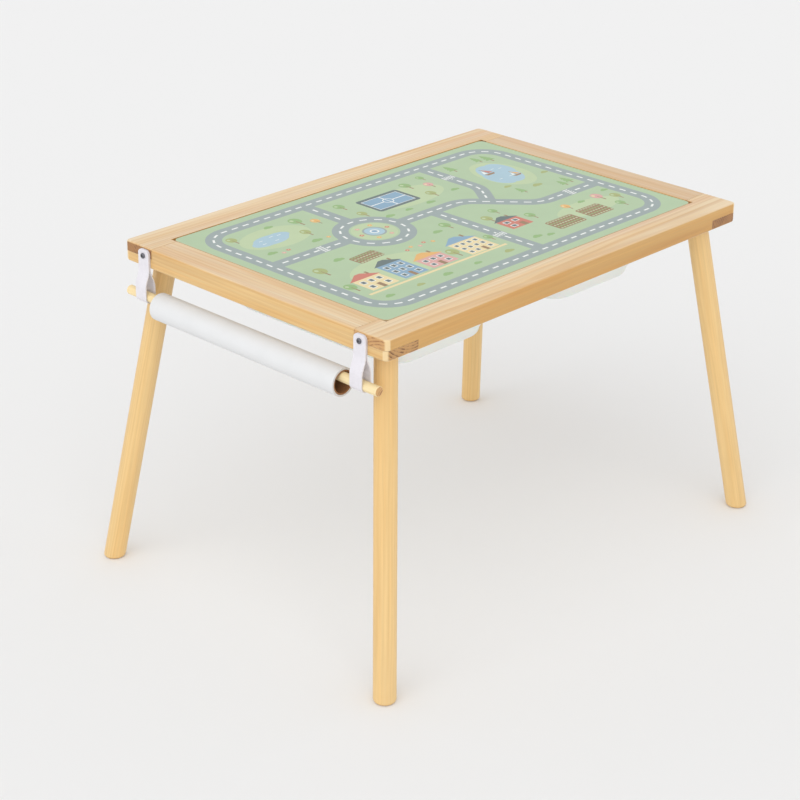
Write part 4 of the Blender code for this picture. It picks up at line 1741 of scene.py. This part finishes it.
class ACTIVITY_TABLE_OT_roll(Operator):
    """Builds the cardboard core and the roll of paper round it"""

    bl_idname = "activity_table.roll"
    bl_label = "Paper roll"

    def execute(self, context):
        settings = settings_of(context)
        finish = settings.finish
        card = card_material("core card", finish.card, finish.seam, ROLL_CENTRE, CORE_SEAM_PITCH)
        paper = paper_material("drawing paper", finish.paper, finish.wraps, ROLL_CENTRE)
        steps = settings.round_steps * 3 // 2
        for name, bm, material, slot, node in (
            ("core_tube", core_mesh(steps), card, "core_board", "cardboard_core"),
            ("paper_wound", paper_mesh(steps), paper, "roll_paper", "paper_roll"),
        ):
            make_piece(name, bm, [material], "roll", [node], flats=False)
        return {"FINISHED"}


# Stage


def floor_material(colour):
    """A plain floor that is clear from below."""
    material, tree, shader = start_material("floor", 0.9)
    shader.inputs["Base Color"].default_value = opaque(colour)
    shader.inputs["Specular IOR Level"].default_value = 0.1
    behind = add_node(tree, "ShaderNodeNewGeometry").outputs["Backfacing"]
    clear = add_node(tree, "ShaderNodeBsdfTransparent").outputs[0]
    both = add_node(tree, "ShaderNodeMixShader", {0: behind, 1: shader.outputs[0], 2: clear})
    tree.links.new(both.outputs[0], tree.nodes["Material Output"].inputs["Surface"])
    return material


def set_world(colour, overhead, around):
    """Even light, stronger from the sides, that shows as one plain tone behind the floor."""
    world = bpy.context.scene.world or bpy.data.worlds.new("studio")
    bpy.context.scene.world = world
    world.use_nodes = True
    tree = world.node_tree
    tree.nodes.clear()
    path = add_node(tree, "ShaderNodeLightPath").outputs
    seen = computed(tree, "MAXIMUM", path["Is Camera Ray"], path["Is Glossy Ray"])
    seen = computed(tree, "MAXIMUM", seen, path["Is Transmission Ray"])
    direction = add_node(tree, "ShaderNodeTexCoord").outputs["Generated"]
    height = add_node(tree, "ShaderNodeSeparateXYZ", {0: direction}).outputs["Z"]
    strength = remapped(tree, height, 0.0, 1.0, around, overhead)
    light = add_node(tree, "ShaderNodeBackground", {0: (1, 1, 1, 1), 1: strength}).outputs[0]
    tone = add_node(tree, "ShaderNodeBackground", {0: opaque(colour), 1: 1.0}).outputs[0]
    both = add_node(tree, "ShaderNodeMixShader", {0: seen, 1: light, 2: tone}).outputs[0]
    add_node(tree, "ShaderNodeOutputWorld", {0: both})


def set_camera(stage):
    """A camera by its place, heading and tilt."""
    data = bpy.data.cameras.new("photo camera")
    data.lens = stage.lens
    data.sensor_width = stage.sensor
    data.clip_end = 100.0
    camera = bpy.data.objects.new("photo_camera", data)
    bpy.context.scene.collection.objects.link(camera)
    level = math.cos(stage.elevation)
    ahead = Vector(
        (math.sin(stage.azimuth) * level, math.cos(stage.azimuth) * level, -math.sin(stage.elevation))
    )
    right = Vector((math.cos(stage.azimuth), -math.sin(stage.azimuth), 0))
    up = right.cross(ahead)
    tilt = Matrix.Rotation(-stage.roll, 3, ahead)
    axes = Matrix((tilt @ right, tilt @ up, -ahead)).transposed()
    camera.matrix_world = Matrix.Translation(stage.camera_place) @ axes.to_4x4()
    bpy.context.scene.camera = camera


class ACTIVITY_TABLE_OT_stage(Operator):
    """Sets the plain floor, the soft light and the camera"""

    bl_idname = "activity_table.stage"
    bl_label = "Stage"

    def execute(self, context):
        stage = settings_of(context).stage
        bm = bmesh.new()
        bmesh.ops.create_grid(bm, x_segments=1, y_segments=1, size=stage.floor_size / 2)
        bmesh.ops.translate(bm, vec=(0, 0, -stage.floor_drop), verts=bm.verts)
        mesh = bpy.data.meshes.new("floor")
        bm.to_mesh(mesh)
        bm.free()
        mesh.materials.append(floor_material(stage.floor))
        floor = bpy.data.objects.new("floor", mesh)
        context.scene.collection.objects.link(floor)

        light = bpy.data.lights.new("window", "SUN")
        light.energy = stage.sun
        light.angle = stage.sun_spread
        window = bpy.data.objects.new("window", light)
        window.matrix_world = Vector(stage.sun_towards).to_track_quat("Z", "Y").to_matrix().to_4x4()
        context.scene.collection.objects.link(window)
        set_world(stage.backdrop, stage.overhead, stage.around)
        set_camera(stage)
        context.scene.view_settings.view_transform = "Standard"
        return {"FINISHED"}


OPERATORS = (
    ACTIVITY_TABLE_OT_legs,
    ACTIVITY_TABLE_OT_fastenings,
    ACTIVITY_TABLE_OT_rails,
    ACTIVITY_TABLE_OT_board,
    ACTIVITY_TABLE_OT_bins,
    ACTIVITY_TABLE_OT_straps,
    ACTIVITY_TABLE_OT_rod,
    ACTIVITY_TABLE_OT_roll,
    ACTIVITY_TABLE_OT_stage,
)


class ACTIVITY_TABLE_PT_pieces(Panel):
    """The pieces that can be built, in order"""

    bl_idname = "ACTIVITY_TABLE_PT_pieces"
    bl_label = "Activity Table"
    bl_space_type = "VIEW_3D"
    bl_region_type = "UI"
    bl_category = "Activity Table"

    def draw(self, context):
        for operator in OPERATORS:
            self.layout.operator(operator.bl_idname)


CLASSES = (
    WoodSettings,
    PrintSettings,
    FinishSettings,
    StageSettings,
    ActivityTableSettings,
    *OPERATORS,
    ACTIVITY_TABLE_PT_pieces,
)


def register():
    for made in CLASSES:
        bpy.utils.register_class(made)
    bpy.types.Scene.activity_table = PointerProperty(type=ActivityTableSettings)


def unregister():
    del bpy.types.Scene.activity_table
    for made in reversed(CLASSES):
        bpy.utils.unregister_class(made)


def main():
    register()
    bpy.ops.activity_table.legs()
    bpy.ops.activity_table.fastenings()
    bpy.ops.activity_table.rails()
    bpy.ops.activity_table.board()
    bpy.ops.activity_table.bins()
    bpy.ops.activity_table.straps()
    bpy.ops.activity_table.rod()
    bpy.ops.activity_table.roll()
    bpy.ops.activity_table.stage()


if __name__ == "__main__":
    main()
